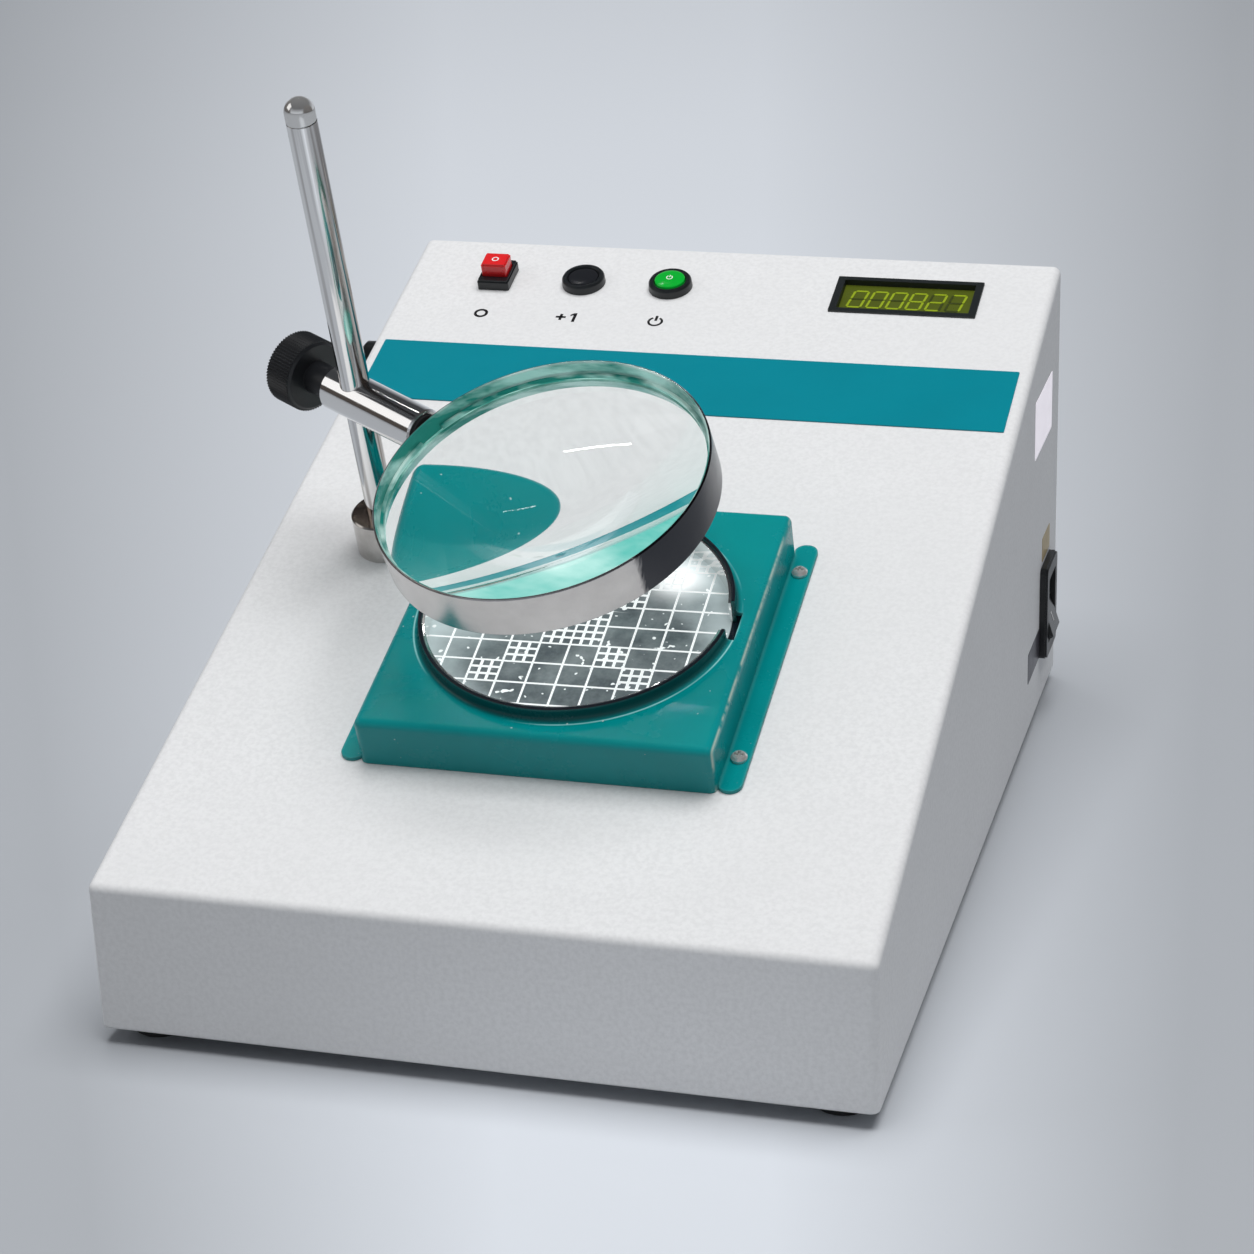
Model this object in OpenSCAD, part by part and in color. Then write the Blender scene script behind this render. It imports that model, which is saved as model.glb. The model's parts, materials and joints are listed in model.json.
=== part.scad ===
// Colony counter: a sloping lamp housing with a counting stage, a push-button
// counter and a magnifier on a post.
//
// Two helper frames are used below. In the housing frame x runs right from the
// left wall, y back from the front wall and z up from the lower edge. In the
// slope frame x runs right, y up the slope from the front crease and z out of
// the panel.

/* [Housing] */
// Width of the sheet-metal housing
body_w = 250; // [236:1:300]
// Depth of the housing, front to back
body_d = 350; // [340:1:420]
// Height of the front wall
front_h = 50; // [44:1:70]
// Height of the back wall
back_h = 162; // [150:1:185]
// Thickness of the housing sheet
sheet_t = 1.5; // [1:0.1:2.5]
// Outside radius of the housing's bends
bend_r = 3; // [2.6:0.1:5]
// Number of cooling slots in the back wall
vent_count = 9; // [3:1:12]
// Pitch of the cooling slots
vent_pitch = 8; // [5:0.5:9]
// Height of a cooling slot
vent_h = 26; // [15:1:36]
// Width of a cooling slot
vent_w = 3; // [2:0.1:3.6]

/* [Base and feet] */
// Thickness of the base plate
base_t = 1.5; // [1:0.1:2.5]
// Gap all round the base plate
base_gap = 0.5; // [0.3:0.1:1]
// Length of a fixing tab along its wall
tab_l = 18; // [12:1:26]
// How far a fixing tab reaches in from its wall
tab_w = 12; // [9:1:16]
// Diameter of a rubber foot
foot_d = 20; // [14:1:26]
// Height of a rubber foot
foot_h = 6; // [4:0.5:12]
// Distance from a side wall to a foot's centre
foot_in_x = 14; // [13:1:30]
// Distance from the front or back wall to a foot's centre
foot_in_y = 16; // [15:1:40]

/* [Graphic strip] */
// Length of the strip along the slope
strip_l = 36.2; // [20:0.1:40]
// Distance from the back crease to the strip's middle, along the slope
strip_back = 89.7; // [80:0.1:100]
// Bare margin between a side wall and the strip
strip_margin = 4.7; // [4:0.1:12]
// Thickness of the strip
strip_t = 0.4; // [0.2:0.1:0.8]

/* [Stage cover] */
// How far the stage sits right of the housing's middle
stage_shift = 3; // [-6:0.5:6]
// Distance from the front crease to the stage's middle, along the slope
stage_v = 125.5; // [118:0.5:135]
// Width of the raised stage
stage_w = 117.5; // [116:0.5:126]
// Length of the raised stage along the slope
stage_l = 120; // [117:0.5:130]
// Height of the stage above the slope
stage_h = 17.4; // [15:0.1:22]
// Thickness of the stage sheet
stage_t = 1.2; // [1:0.1:1.5]
// Outside radius of the stage's bends
stage_r = 2.6; // [2.2:0.1:3.2]
// Width of a fixing flange
flange_w = 7.4; // [7:0.1:12]
// Length of a fixing flange
flange_l = 123; // [110:1:128]
// How far the flanges sit up the slope from the stage's middle
flange_shift = 2; // [0:0.5:3]
// Corner radius of a fixing flange
flange_r = 4; // [2:0.5:5]
// Radius of the dish opening
dish_r = 50.6; // [46:0.1:51.5]
// Height of the upstanding rim round the dish opening
rim_h = 4.4; // [2.5:0.1:6]
// Radius of the bend between the stage's top and the rim
rim_bend = 1.4; // [0.8:0.1:2]
// Thickness of the bright ring that lines the opening
liner_t = 0.9; // [0.6:0.1:1.2]
// Width of the finger notch
notch_w = 13.5; // [8:0.5:18]
// How far the notch reaches out past the opening's wall
notch_out = 3.1; // [2.8:0.1:4.6]
// Distance between the two screws of one flange
stage_screw_pitch = 92.4; // [80:0.1:100]

/* [Glass, lamp and reflector] */
// Height of the glass plate's upper face above the slope
glass_top = 13.4; // [9:0.1:13.6]
// Thickness of the glass plate
glass_t = 2; // [1.5:0.1:3]
// Outside radius of the glass plate and its seat
glass_r = 56; // [55:0.1:56.4]
// Width of the seat under the glass
seat_w = 4.4; // [3.4:0.1:6]
// Depth of the reflector pan below the slope
pan_depth = 26; // [22:0.5:30]
// Thickness of the pan's sheet
pan_t = 1; // [0.6:0.1:1.2]
// Gap between the ring lamp and the pan's wall
lamp_gap = 1.7; // [1.4:0.1:3]
// Diameter of the ring lamp's tube
lamp_d = 9; // [7:0.5:9]
// Depth of the ring lamp's centre line below the slope
lamp_depth = 8; // [6:0.5:10]
// Gap between the ring lamp and the dark screen inside it
screen_gap = 1.4; // [1.2:0.1:6]
// Number of spring clips that hold the ring lamp
clip_count = 4; // [3:1:6]

/* [Post] */
// Distance from the left wall to the post
post_u = 43.8; // [38:0.1:46]
// Distance from the front crease to the post, along the slope
post_v = 175.6; // [165:0.1:190]
// Diameter of the post
post_d = 10; // [8:0.1:11]
// Height of the post above the slope, up to its cap
post_h = 169.3; // [130:0.1:220]
// Height of the domed cap
cap_h = 8.3; // [6:0.1:10]
// Diameter of the post's collar
collar_d = 21; // [18:0.1:26]
// Height of the post's collar
collar_h = 14.7; // [10:0.1:22]
// Diameter of the collar's threaded stem
stem_d = 16; // [14:0.1:17]
// Depth of the post's socket below the slope
socket_depth = 10; // [9:0.1:16]
// Thickness of the collar's nut
collar_nut_t = 5; // [4:0.5:6]
// Radial clearance of a shaft that turns or slides in its bore
run_fit = 0.05; // [0.02:0.01:0.09]

/* [Arm and knob] */
// Height of the arm's centre line above the slope
arm_z = 62.4; // [50:0.1:100]
// Direction of the arm, turned from the housing's width axis
arm_swing = -29.7; // [-45:0.1:20]
// Diameter of the arm
arm_d = 15.4; // [14.5:0.1:20]
// Distance from the post's centre to the arm's knob end
arm_back = 11.4; // [9:0.1:16]
// Distance from the post's centre to the arm's lens end
arm_front = 32.9; // [28:0.1:40]
// Diameter of the clamp screw
clamp_screw_d = 6; // [5:0.1:6]
// Diameter of the knob
knob_d = 25.4; // [20:0.1:32]
// Length of the knob's knurled part
knob_l = 11.8; // [8:0.1:16]
// Diameter of the knob's hub
hub_d = 11.4; // [10:0.1:14]
// Length of the knob's hub
hub_l = 9.8; // [5:0.1:14]
// Number of ribs round the knob
knob_ribs = 72; // [40:1:90]
// Depth of the knob's ribs
rib_depth = 0.5; // [0.3:0.05:0.8]

/* [Magnifier] */
// Outside radius of the lens ring
ring_r = 55.6; // [45:0.1:58]
// Height of the lens ring
ring_h = 15.4; // [15.2:0.1:20]
// Wall thickness of the lens ring
ring_wall = 1.2; // [0.8:0.1:1.6]
// Width of the ledge that the lens sits on
ledge_w = 1.4; // [0.8:0.1:2]
// Gap between the arm's end and the lens ring
ring_gap = 1.5; // [1.5:0.1:3]
// Tilt of the lens about the arm
lens_tilt = 8.4; // [0:0.1:15]
// Angle by which the ring stands off square to the arm
lens_rise = 2.6; // [0:0.1:4]
// Radius of curvature of the lens faces
lens_curve = 262; // [250:1:400]
// Thickness of the lens at its edge
lens_edge = 3; // [2:0.1:3]
// Diameter of the lens stud
stud_d = 6; // [4:0.1:6]
// Length of the stud inside the arm
stud_in = 12; // [8:0.5:13]
// Thickness of the friction washer
washer_t = 2; // [1.6:0.1:2.1]

/* [Push buttons] */
// Distance from the back crease to the row of buttons, along the slope
row_back = 28; // [24:0.1:34]
// Distance from the left wall to the reset button
reset_u = 36.9; // [20:0.1:40]
// Distance from one button to the next
button_pitch = 34.25; // [26:0.05:40]
// Width of the reset button's base
reset_w = 12.4; // [12.2:0.1:16]
// Length of the reset button's base
reset_l = 15.1; // [14:0.1:20]
// Height of the reset button's base
reset_h = 4.2; // [3.5:0.1:6]
// Width of the reset cap
reset_cap_w = 9.8; // [8:0.1:10]
// Length of the reset cap
reset_cap_l = 8.4; // [7:0.1:11]
// Height of the reset cap above the slope
reset_cap_h = 9.2; // [8.6:0.1:12]
// Outside diameter of a round button's bezel
bezel_d = 16.7; // [16.4:0.1:22]
// Height of a round button's bezel
bezel_h = 3.4; // [2.5:0.1:5]
// Diameter of a round button's barrel
barrel_d = 14; // [13.6:0.1:15]
// Diameter of a round button's cap
cap_d = 11.5; // [10:0.1:11.8]
// Height of the count cap's rim above the slope
count_cap_h = 3.4; // [3:0.1:5]
// Height of the power cap's rim above the slope
power_cap_h = 4.4; // [4:0.1:6]
// Depth of a switch body below the slope
switch_depth = 22; // [18:0.5:26]
// Travel of a push button
press_travel = 2; // [1:0.1:2.5]

/* [Display] */
// Distance from the right wall to the display's middle
display_right = 53.9; // [40:0.1:80]
// Width of the display bezel
display_w = 55.2; // [50:0.1:70]
// Length of the display bezel along the slope
display_l = 22.6; // [20:0.1:30]
// Height of the display bezel above the slope
display_lip = 0.8; // [0.5:0.1:2]
// Width of the border round the display's window
display_border = 2.8; // [2.4:0.1:4]
// Depth of the display cell below the slope
display_recess = 1.6; // [1:0.1:3]

/* [Side switch, inlet and pen socket] */
// Distance from the back wall to the side switch's middle
side_back = 29.8; // [24:0.1:60]
// Height of the side switch's middle above the lower edge
side_z = 36.2; // [26:0.1:60]
// Width of the side switch's frame
side_w = 24.5; // [23:0.1:30]
// Height of the side switch's frame
side_l = 36.5; // [34.5:0.1:44]
// Thickness of the side switch's frame
side_t = 3; // [2:0.1:4]
// Width of the rocker
rocker_w = 15.2; // [12:0.1:16]
// Radius of the rocker's ends about its pivot
rocker_r = 12.6; // [11.5:0.1:14]
// Angle that the rocker leans to each side
rocker_lean = 9; // [6:0.5:10]
// Distance from the left wall to the mains inlet
inlet_x = 62; // [40:1:80]
// Height of the mains inlet above the lower edge
inlet_z = 36; // [26:1:60]
// Distance from the back wall to the pen socket
pen_back = 52; // [30:1:90]
// Depth of the pen socket below the top of the left wall
pen_drop = 20; // [16:1:40]
// Diameter of the pen socket's body
pen_d = 17; // [14:0.1:20]
// How far the pen socket stands out of the wall
pen_out = 10; // [6:0.1:14]
// Diameter of the pen socket's hole
pen_hole_d = 6.4; // [3.5:0.1:6.5]

/* [Hidden] */
$fn = 64;
eps = 0.01;

// Facets round the housing's and stage's rounded bends
bend_fn = 32;
// Clearance between a part and the cut-out it goes through
cut_gap = 0.3;
// Clearance between a button and its guide
slide_gap = 0.3;
// Clearance between flat faces that pass each other
face_gap = 0.2;
// Clearance between the lens's edge and what holds it
seat_gap = 0.3;

slope = atan((back_h - front_h) / body_d);
slope_l = body_d / cos(slope);
row_v = slope_l - row_back;
count_u = reset_u + button_pitch;
power_u = count_u + button_pitch;
stage_u = body_w / 2 + stage_shift;
pan_r = glass_r - seat_w;
lamp_r = pan_r - lamp_gap - lamp_d / 2;
screen_r = lamp_r - lamp_d / 2 - screen_gap;
display_u = body_w - display_right;
side_y = body_d - side_back;
pen_y = body_d - pen_back;

// Small screws
m3_d = 2.9;
m3_head_d = 5.4;
m3_head_h = 2;
m3_hole_d = 3.4;
m4_d = 3.9;
m4_head_d = 7;
m4_head_h = 2.6;
m4_hole_d = 4.4;
m4_nut_t = 3.2;
m4_nut_w = 7;
base_screw_l = base_t + 5;
stage_screw_l = stage_t + sheet_t + 4;

// Rocker, in a frame at its pivot
rocker_sink = 2.5;
rocker_corner = 27;
side_reach = rocker_r * sin(rocker_corner + rocker_lean) - rocker_sink;
side_body_depth = 22;
side_wall = 2;
rocker_pin_r = 1.2;
rocker_pin_l = 1.2;

// Mains inlet
inlet_w = 50;
inlet_l = 23;
inlet_t = 3;
inlet_body_w = 27;
inlet_body_l = 20;
inlet_body_depth = 20;
inlet_mouth_w = 24;
inlet_mouth_l = 16;
inlet_mouth_depth = 16;
inlet_screw_pitch = 40;

// Pen socket
pen_z = front_h + pen_y * tan(slope) - pen_drop;
pen_stem_d = 12;
pen_stem_l = 14;
pen_nut_t = 2.5;

// Boards
board_t = 1.6;
pillar_d = 6;
pillar_h = 16;
counter_w = 96;
counter_l = 44;
counter_u = display_u - 30;
counter_v = row_v - 50;
supply_w = 90;
supply_l = 62;
supply_x = body_w - 78;
supply_y = body_d - 100;
supply_pillar_h = 8;
core_w = 48;
core_l = 40;
core_h = 38;
core_x = 62;
core_y = body_d - 88;
ballast = [92, 34, 24];
ballast_x = body_w / 2;
ballast_y = 48;
chip = [20, 7.6, 4];
terminal = [50, 8, 9];
capacitor_d = 13;
capacitor_h = 22;
rectifier = [24, 8, 10];
fin = [1.6, 36, 18];
fin_pitch = 4;
fin_count = 5;

// Footprint centre, with the side switch, pen socket and inlet taken in
mid_x = (body_w + side_reach - pen_out) / 2;
mid_y = (body_d + inlet_t + m3_head_h) / 2;

// ---------------------------------------------------------------- frames

// Housing frame
module in_housing() {
  translate([-mid_x, -mid_y, foot_h]) children();
}

// Slope frame
module on_slope() {
  in_housing() translate([0, 0, front_h]) rotate([slope, 0, 0]) children();
}

// Middle of the stage, on the slope
module on_stage() {
  on_slope() translate([stage_u, stage_v, 0]) children();
}

// A place in the row of buttons
module on_row(u) {
  on_slope() translate([u, row_v, 0]) children();
}

// Middle of the counter board, on the slope
module on_counter() {
  on_slope() translate([counter_u, counter_v, 0]) children();
}

// Foot of the post, with x along the arm
module on_post() {
  on_slope() translate([post_u, post_v, 0]) rotate(arm_swing) children();
}

// Middle of the arm, with x along the arm towards the lens
module on_arm() {
  on_post() translate([0, 0, arm_z]) children();
}

// Middle of the lens, tilted about the arm
module on_lens(rise) {
  on_arm()
    rotate([lens_tilt, 0, 0])
      translate([arm_front + ring_gap + ring_r, 0, 0])
        rotate([0, -rise, 0]) children();
}

// Right wall, with x towards the back, y up and z outwards
module on_right_wall(y, z) {
  in_housing() translate([body_w, y, z]) rotate([90, 0, 90]) children();
}

// Left wall, with x towards the front, y up and z outwards
module on_left_wall(y, z) {
  in_housing() translate([0, y, z]) rotate([90, 0, -90]) children();
}

// Back wall, with x towards the left wall, y up and z outwards
module on_back_wall(x, z) {
  in_housing() translate([x, body_d, z]) rotate([90, 0, 180]) children();
}

// ---------------------------------------------------------------- shapes

// Copies the children to the four corners of a rectangle
module at_corners(w, l) {
  for (x = [-w / 2, w / 2], y = [-l / 2, l / 2]) translate([x, y, 0]) children();
}

// Flat rectangle with round corners, centred
module round_rect(w, l, r) {
  square([w - 2 * r, l], center = true);
  square([w, l - 2 * r], center = true);
  at_corners(w - 2 * r, l - 2 * r) circle(r);
}

// Plate with round corners, standing on z = 0
module plate(w, l, t, r) {
  linear_extrude(t) round_rect(w, l, r);
}

// Hexagon standing on z = 0, d across flats, with a bore
module hex_nut(d, t, bore_d) {
  difference() {
    cylinder(d = d / cos(30), h = t, $fn = 6);
    translate([0, 0, -eps]) cylinder(d = bore_d, h = t + 2 * eps);
  }
}

// Screw with its head above z = 0, its shank below and a cross recess
module pan_screw(d, head_d, head_h, length) {
  recess_w = head_d / 6;
  recess_l = head_d / 1.8;
  difference() {
    rotate_extrude()
      polygon([
        [0, 0], [head_d / 2, 0], [head_d / 2, head_h * 0.45],
        [head_d / 2 - head_h * 0.35, head_h * 0.85],
        [head_d / 4, head_h], [0, head_h]
      ]);
    for (a = [0, 90]) rotate(a) translate([0, 0, head_h])
      cube([recess_l, recess_w, head_h], center = true);
  }
  translate([0, 0, -length]) cylinder(d = d, h = length);
}

// Ball whose poles and equator lie exactly at its radius
module ball(r) {
  rotate_extrude($fn = bend_fn) intersection() {
    circle(r, $fn = bend_fn);
    translate([0, -r]) square(2 * r);
  }
}

// The housing's outer or inner form: a wedge with rounded upper edges
module wedge(inset, drop) {
  r = bend_r - inset;
  lift = front_h - bend_r / cos(slope);
  hull() {
    for (x = [bend_r, body_w - bend_r], y = [bend_r, body_d - bend_r])
      translate([x, y, lift + y * tan(slope)]) rotate([slope, 0, 0]) ball(r);
    for (x = [bend_r, body_w - bend_r], y = [bend_r, body_d - bend_r])
      translate([x, y, -drop]) cylinder(r = r, h = 1, $fn = bend_fn);
  }
}

// Block with rounded upper edges, standing on z = 0
module stage_block(w, l, h, r) {
  hull() {
    at_corners(w - 2 * r, l - 2 * r) translate([0, 0, h - r]) ball(r);
    at_corners(w - 2 * r, l - 2 * r) cylinder(r = r, h = 1, $fn = bend_fn);
  }
}

// ---------------------------------------------------------------- housing

tab_spots = [
  for (x = [body_w * 0.2, body_w * 0.8]) [x, 0, 0],
  for (x = [body_w * 0.2, body_w * 0.8]) [x, body_d, 180],
  for (y = [body_d * 0.5]) [0, y, -90],
  for (y = [body_d * 0.5]) [body_w, y, 90]
];

// Copies the children to each fixing tab, with y pointing inwards
module at_tabs() {
  for (s = tab_spots) translate([s[0], s[1], 0]) rotate(s[2]) children();
}

// Where a tab's screw stands, measured from its wall
tab_screw_in = sheet_t + tab_w * 0.55;

module tab() {
  translate([-tab_l / 2, sheet_t - eps, base_t]) cube([tab_l, tab_w - sheet_t, sheet_t]);
}

module housing_openings() {
  // Slope
  on_stage() {
    translate([0, 0, -sheet_t - 1]) cylinder(r = pan_r + pan_t + cut_gap, h = sheet_t + 2);
    stage_screw_spots() translate([0, 0, -sheet_t - 1]) cylinder(d = m3_d + 0.1, h = sheet_t + 2);
  }
  on_slope() translate([post_u, post_v, -sheet_t - 1])
    cylinder(d = stem_d + 2 * cut_gap, h = sheet_t + 2);
  on_row(reset_u) translate([0, 0, -sheet_t - 1])
    plate(reset_body_w + 2 * cut_gap, reset_body_l + 2 * cut_gap, sheet_t + 2, 0.5);
  for (u = [count_u, power_u]) on_row(u) translate([0, 0, -sheet_t - 1])
    cylinder(d = barrel_d + 2 * cut_gap, h = sheet_t + 2);
  on_row(display_u) translate([0, 0, -sheet_t - 1])
    plate(display_body_w + 2 * cut_gap, display_body_l + 2 * cut_gap, sheet_t + 2, 0.5);
  // Side walls
  on_right_wall(side_y, side_z) translate([0, 0, -sheet_t - 1])
    plate(side_body_w + 2 * cut_gap, side_body_l + 2 * cut_gap, sheet_t + 2, 0.5);
  on_left_wall(pen_y, pen_z) translate([0, 0, -sheet_t - 1])
    cylinder(d = pen_stem_d + 2 * cut_gap, h = sheet_t + 2);
  // Back wall
  on_back_wall(inlet_x, inlet_z) translate([0, 0, -sheet_t - 1]) {
    plate(inlet_body_w + 2 * cut_gap, inlet_body_l + 2 * cut_gap, sheet_t + 2, 1);
    for (s = [-1, 1]) translate([s * inlet_screw_pitch / 2, 0, 0])
      cylinder(d = m3_d + 0.1, h = sheet_t + 2);
  }
  on_back_wall(body_w / 2, back_h * 0.62)
    for (i = [0 : vent_count - 1])
      translate([(i - (vent_count - 1) / 2) * vent_pitch, 0, -sheet_t - 1])
        plate(vent_w, vent_h, sheet_t + 2, vent_w / 2 - eps);
}

module housing() {
  color("whitesmoke") difference() {
    in_housing() {
      difference() {
        wedge(0, 0);
        wedge(sheet_t, 5);
      }
      at_tabs() tab();
    }
    housing_openings();
    in_housing() at_tabs() translate([0, tab_screw_in, base_t - 1])
      cylinder(d = m3_d + 0.1, h = sheet_t + 2);
  }
}

module foot_spots() {
  in_housing() translate([body_w / 2, body_d / 2, 0])
    at_corners(body_w - 2 * foot_in_x, body_d - 2 * foot_in_y) children();
}

module base_plate() {
  w = body_w - 2 * (sheet_t + base_gap);
  l = body_d - 2 * (sheet_t + base_gap);
  color("silver") difference() {
    in_housing() translate([body_w / 2, body_d / 2, 0]) plate(w, l, base_t, bend_r);
    foot_spots() translate([0, 0, -1]) cylinder(d = m4_hole_d, h = base_t + 2);
    in_housing() at_tabs() translate([0, tab_screw_in, -1])
      cylinder(d = m3_hole_d, h = base_t + 2);
  }
}

module base_screws() {
  color("dimgray") in_housing() at_tabs() translate([0, tab_screw_in, 0])
    rotate([180, 0, 0]) pan_screw(m3_d, m3_head_d, m3_head_h, base_screw_l);
}

module feet() {
  recess_r = m4_head_d / 2 + 0.8;
  web = 1.6;
  color("black") foot_spots() translate([0, 0, -foot_h]) rotate_extrude()
    polygon([
      [recess_r, 0], [foot_d / 2 - 1.2, 0], [foot_d / 2 - 0.6, 0.6],
      [foot_d / 2, foot_h], [m4_hole_d / 2, foot_h],
      [m4_hole_d / 2, foot_h - web], [recess_r, foot_h - web]
    ]);
}

module foot_screws() {
  web = 1.6;
  color("silver") foot_spots() translate([0, 0, -web]) mirror([0, 0, 1])
    pan_screw(m4_d, m4_head_d, min(m4_head_h, foot_h - web - 0.8), web + base_t + m4_nut_t + 1);
}

module foot_nuts() {
  color("silver") foot_spots() translate([0, 0, base_t]) hex_nut(m4_nut_w, m4_nut_t, m4_d + 0.1);
}

module graphic_strip() {
  color("teal") on_slope() translate([body_w / 2, slope_l - strip_back, 0])
    plate(body_w - 2 * strip_margin, strip_l, strip_t, 0.5);
}

// ---------------------------------------------------------------- stage

flange_x = stage_w / 2 + flange_w / 2;

// Copies the children to the four stage screws
module stage_screw_spots() {
  translate([0, flange_shift, 0]) at_corners(2 * flange_x, stage_screw_pitch) children();
}

rim_top = stage_h + rim_h;

// Section of the upstanding rim, from its top down to the glass
module rim_section() {
  edge = 0.3;
  polygon([
    [dish_r, glass_top + face_gap], [dish_r + stage_t, glass_top + face_gap],
    [dish_r + stage_t, rim_top - edge], [dish_r + stage_t - edge, rim_top],
    [dish_r + edge, rim_top], [dish_r, rim_top - edge]
  ]);
  translate([dish_r + stage_t, stage_h]) difference() {
    translate([-eps, -eps]) square(rim_bend + eps);
    translate([rim_bend, rim_bend]) circle(rim_bend);
  }
}

// Room for a fingertip, cut through the rim and the edge of the stage
module finger_notch() {
  translate([0, -notch_w / 2, glass_top - 1])
    cube([dish_r + notch_out, notch_w, rim_top]);
}

module stage_cover() {
  bend = 0.8;
  color("darkcyan") on_stage() difference() {
    union() {
      difference() {
        stage_block(stage_w, stage_l, stage_h, stage_r);
        translate([0, 0, -stage_t])
          stage_block(stage_w - 2 * stage_t, stage_l - 2 * stage_t, stage_h, stage_r - stage_t);
        cylinder(r = dish_r + stage_t / 2, h = stage_h + 1);
      }
      rotate_extrude($fn = 128) rim_section();
      for (s = [-1, 1]) {
        translate([s * (flange_x - stage_t / 4), flange_shift, 0])
          plate(flange_w + stage_t / 2, flange_l, stage_t, flange_r - 0.1);
        // Inside of the bend between wall and flange
        translate([s * stage_w / 2, (stage_l - 2 * stage_r) / 2, stage_t]) rotate([90, 0, 0])
          linear_extrude(stage_l - 2 * stage_r) difference() {
            translate([-bend / 2, -0.1]) square([bend * 1.5, bend + 0.1]);
            translate([s * bend, bend]) circle(bend);
            translate([-s * bend - bend, -1]) square([2 * bend, 3 * bend]);
          }
      }
    }
    stage_screw_spots() translate([0, 0, -1]) cylinder(d = m3_hole_d, h = stage_t + 2);
    finger_notch();
  }
}

module dish_ring() {
  liner_gap = 0.1;
  out_r = dish_r - liner_gap;
  color("gainsboro") on_stage() difference() {
    rotate_extrude($fn = 128) translate([out_r - liner_t, glass_top])
      square([liner_t, rim_top - 0.5 - glass_top]);
    finger_notch();
  }
}

module stage_screws() {
  color("silver") on_stage() stage_screw_spots() translate([0, 0, stage_t])
    pan_screw(m3_d, m3_head_d, m3_head_h, stage_screw_l);
}

module grid_glass() {
  color("lightcyan", 0.5) on_stage() translate([0, 0, glass_top - glass_t])
    cylinder(r = glass_r, h = glass_t);
}

module glass_seat() {
  color("white") on_stage() translate([0, 0, pan_t]) rotate_extrude()
    translate([pan_r, 0]) square([glass_r - pan_r, glass_top - glass_t - pan_t]);
}

module light_pan() {
  rim = pan_r + pan_t;
  color("white") on_stage() difference() {
    rotate_extrude() {
      translate([0, -pan_depth]) square([rim, pan_t]);
      translate([pan_r, -pan_depth]) square([pan_t, pan_depth + pan_t]);
      translate([pan_r, 0]) square([glass_r - pan_r, pan_t]);
    }
    // Way in for the lamp's leads
    translate([lamp_r, 0, -pan_depth - 1]) cylinder(d = 6, h = pan_t + 2);
  }
}

module dark_screen() {
  wall = 1.2;
  h = pan_depth - pan_t;
  color([0.12, 0.13, 0.13]) on_stage() translate([0, 0, -h]) difference() {
    cylinder(r = screen_r, h = h);
    translate([0, 0, -wall]) cylinder(r = screen_r - wall, h = h);
  }
}

module ring_lamp() {
  color("white") on_stage() translate([0, 0, -lamp_depth]) rotate_extrude($fn = 128)
    translate([lamp_r, 0]) circle(d = lamp_d);
}

module lamp_clips() {
  wall = 0.8;
  gap = 0.3;
  r = lamp_d / 2 + gap;
  floor_z = -pan_depth + pan_t;
  color("silver") on_stage() for (i = [0 : clip_count - 1])
    rotate(i * 360 / clip_count + 40) rotate_extrude(angle = 6) {
      translate([lamp_r, -lamp_depth]) difference() {
        circle(r + wall);
        circle(r);
        translate([-2 * r, r * 0.2]) square(4 * r);
      }
      translate([lamp_r - wall, floor_z]) square([2 * wall, -lamp_depth - r - floor_z]);
    }
}

module lamp_ballast() {
  color("gray") in_housing() translate([ballast_x, ballast_y, base_t]) difference() {
    plate(ballast[0], ballast[1], ballast[2], 2);
    for (s = [-1, 1]) translate([s * (ballast[0] / 2 - 5), 0, 3]) {
      plate(10 + eps, ballast[1] + 1, ballast[2], 0.1);
      translate([0, 0, -4]) cylinder(d = m4_hole_d, h = 5);
    }
  }
}

// ---------------------------------------------------------------- post

socket_r = post_d / 2 + run_fit;
socket_floor = 1.7;

module post_collar() {
  chamfer = 0.6;
  bottom = -socket_depth - socket_floor;
  color("silver") on_post() rotate_extrude()
    polygon([
      [0, bottom], [stem_d / 2, bottom], [stem_d / 2, 0], [collar_d / 2, 0],
      [collar_d / 2, collar_h - chamfer], [collar_d / 2 - chamfer, collar_h],
      [socket_r, collar_h], [socket_r, -socket_depth - face_gap],
      [0, -socket_depth - face_gap]
    ]);
}

module collar_nut() {
  color("silver") on_post() translate([0, 0, -sheet_t - collar_nut_t])
    hex_nut(stem_d + 8, collar_nut_t, stem_d + 0.1);
}

module post_rod() {
  stub_r = post_d / 2 - 1.5;
  stub_l = 6;
  color("silver") on_post() difference() {
    translate([0, 0, -socket_depth]) cylinder(d = post_d, h = socket_depth + post_h);
    translate([0, 0, post_h - stub_l]) cylinder(r = stub_r, h = stub_l + 1);
  }
}

module post_cap() {
  stub_r = post_d / 2 - 1.55;
  stub_l = 5.5;
  groove = 0.4;
  straight = cap_h - post_d / 2;
  color("silver") on_post() translate([0, 0, post_h]) {
    cylinder(d = post_d - 2 * groove, h = straight);
    translate([0, 0, groove]) cylinder(d = post_d, h = straight - groove);
    intersection() {
      translate([0, 0, straight]) sphere(d = post_d);
      translate([0, 0, straight]) cylinder(d = post_d + 1, h = post_d);
    }
    translate([0, 0, -stub_l]) cylinder(r = stub_r, h = stub_l + eps);
  }
}

// ---------------------------------------------------------------- arm

arm_l = arm_back + arm_front;
recess_depth = washer_t - 0.8;
washer_r = arm_d / 2 - 1.7;

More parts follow.
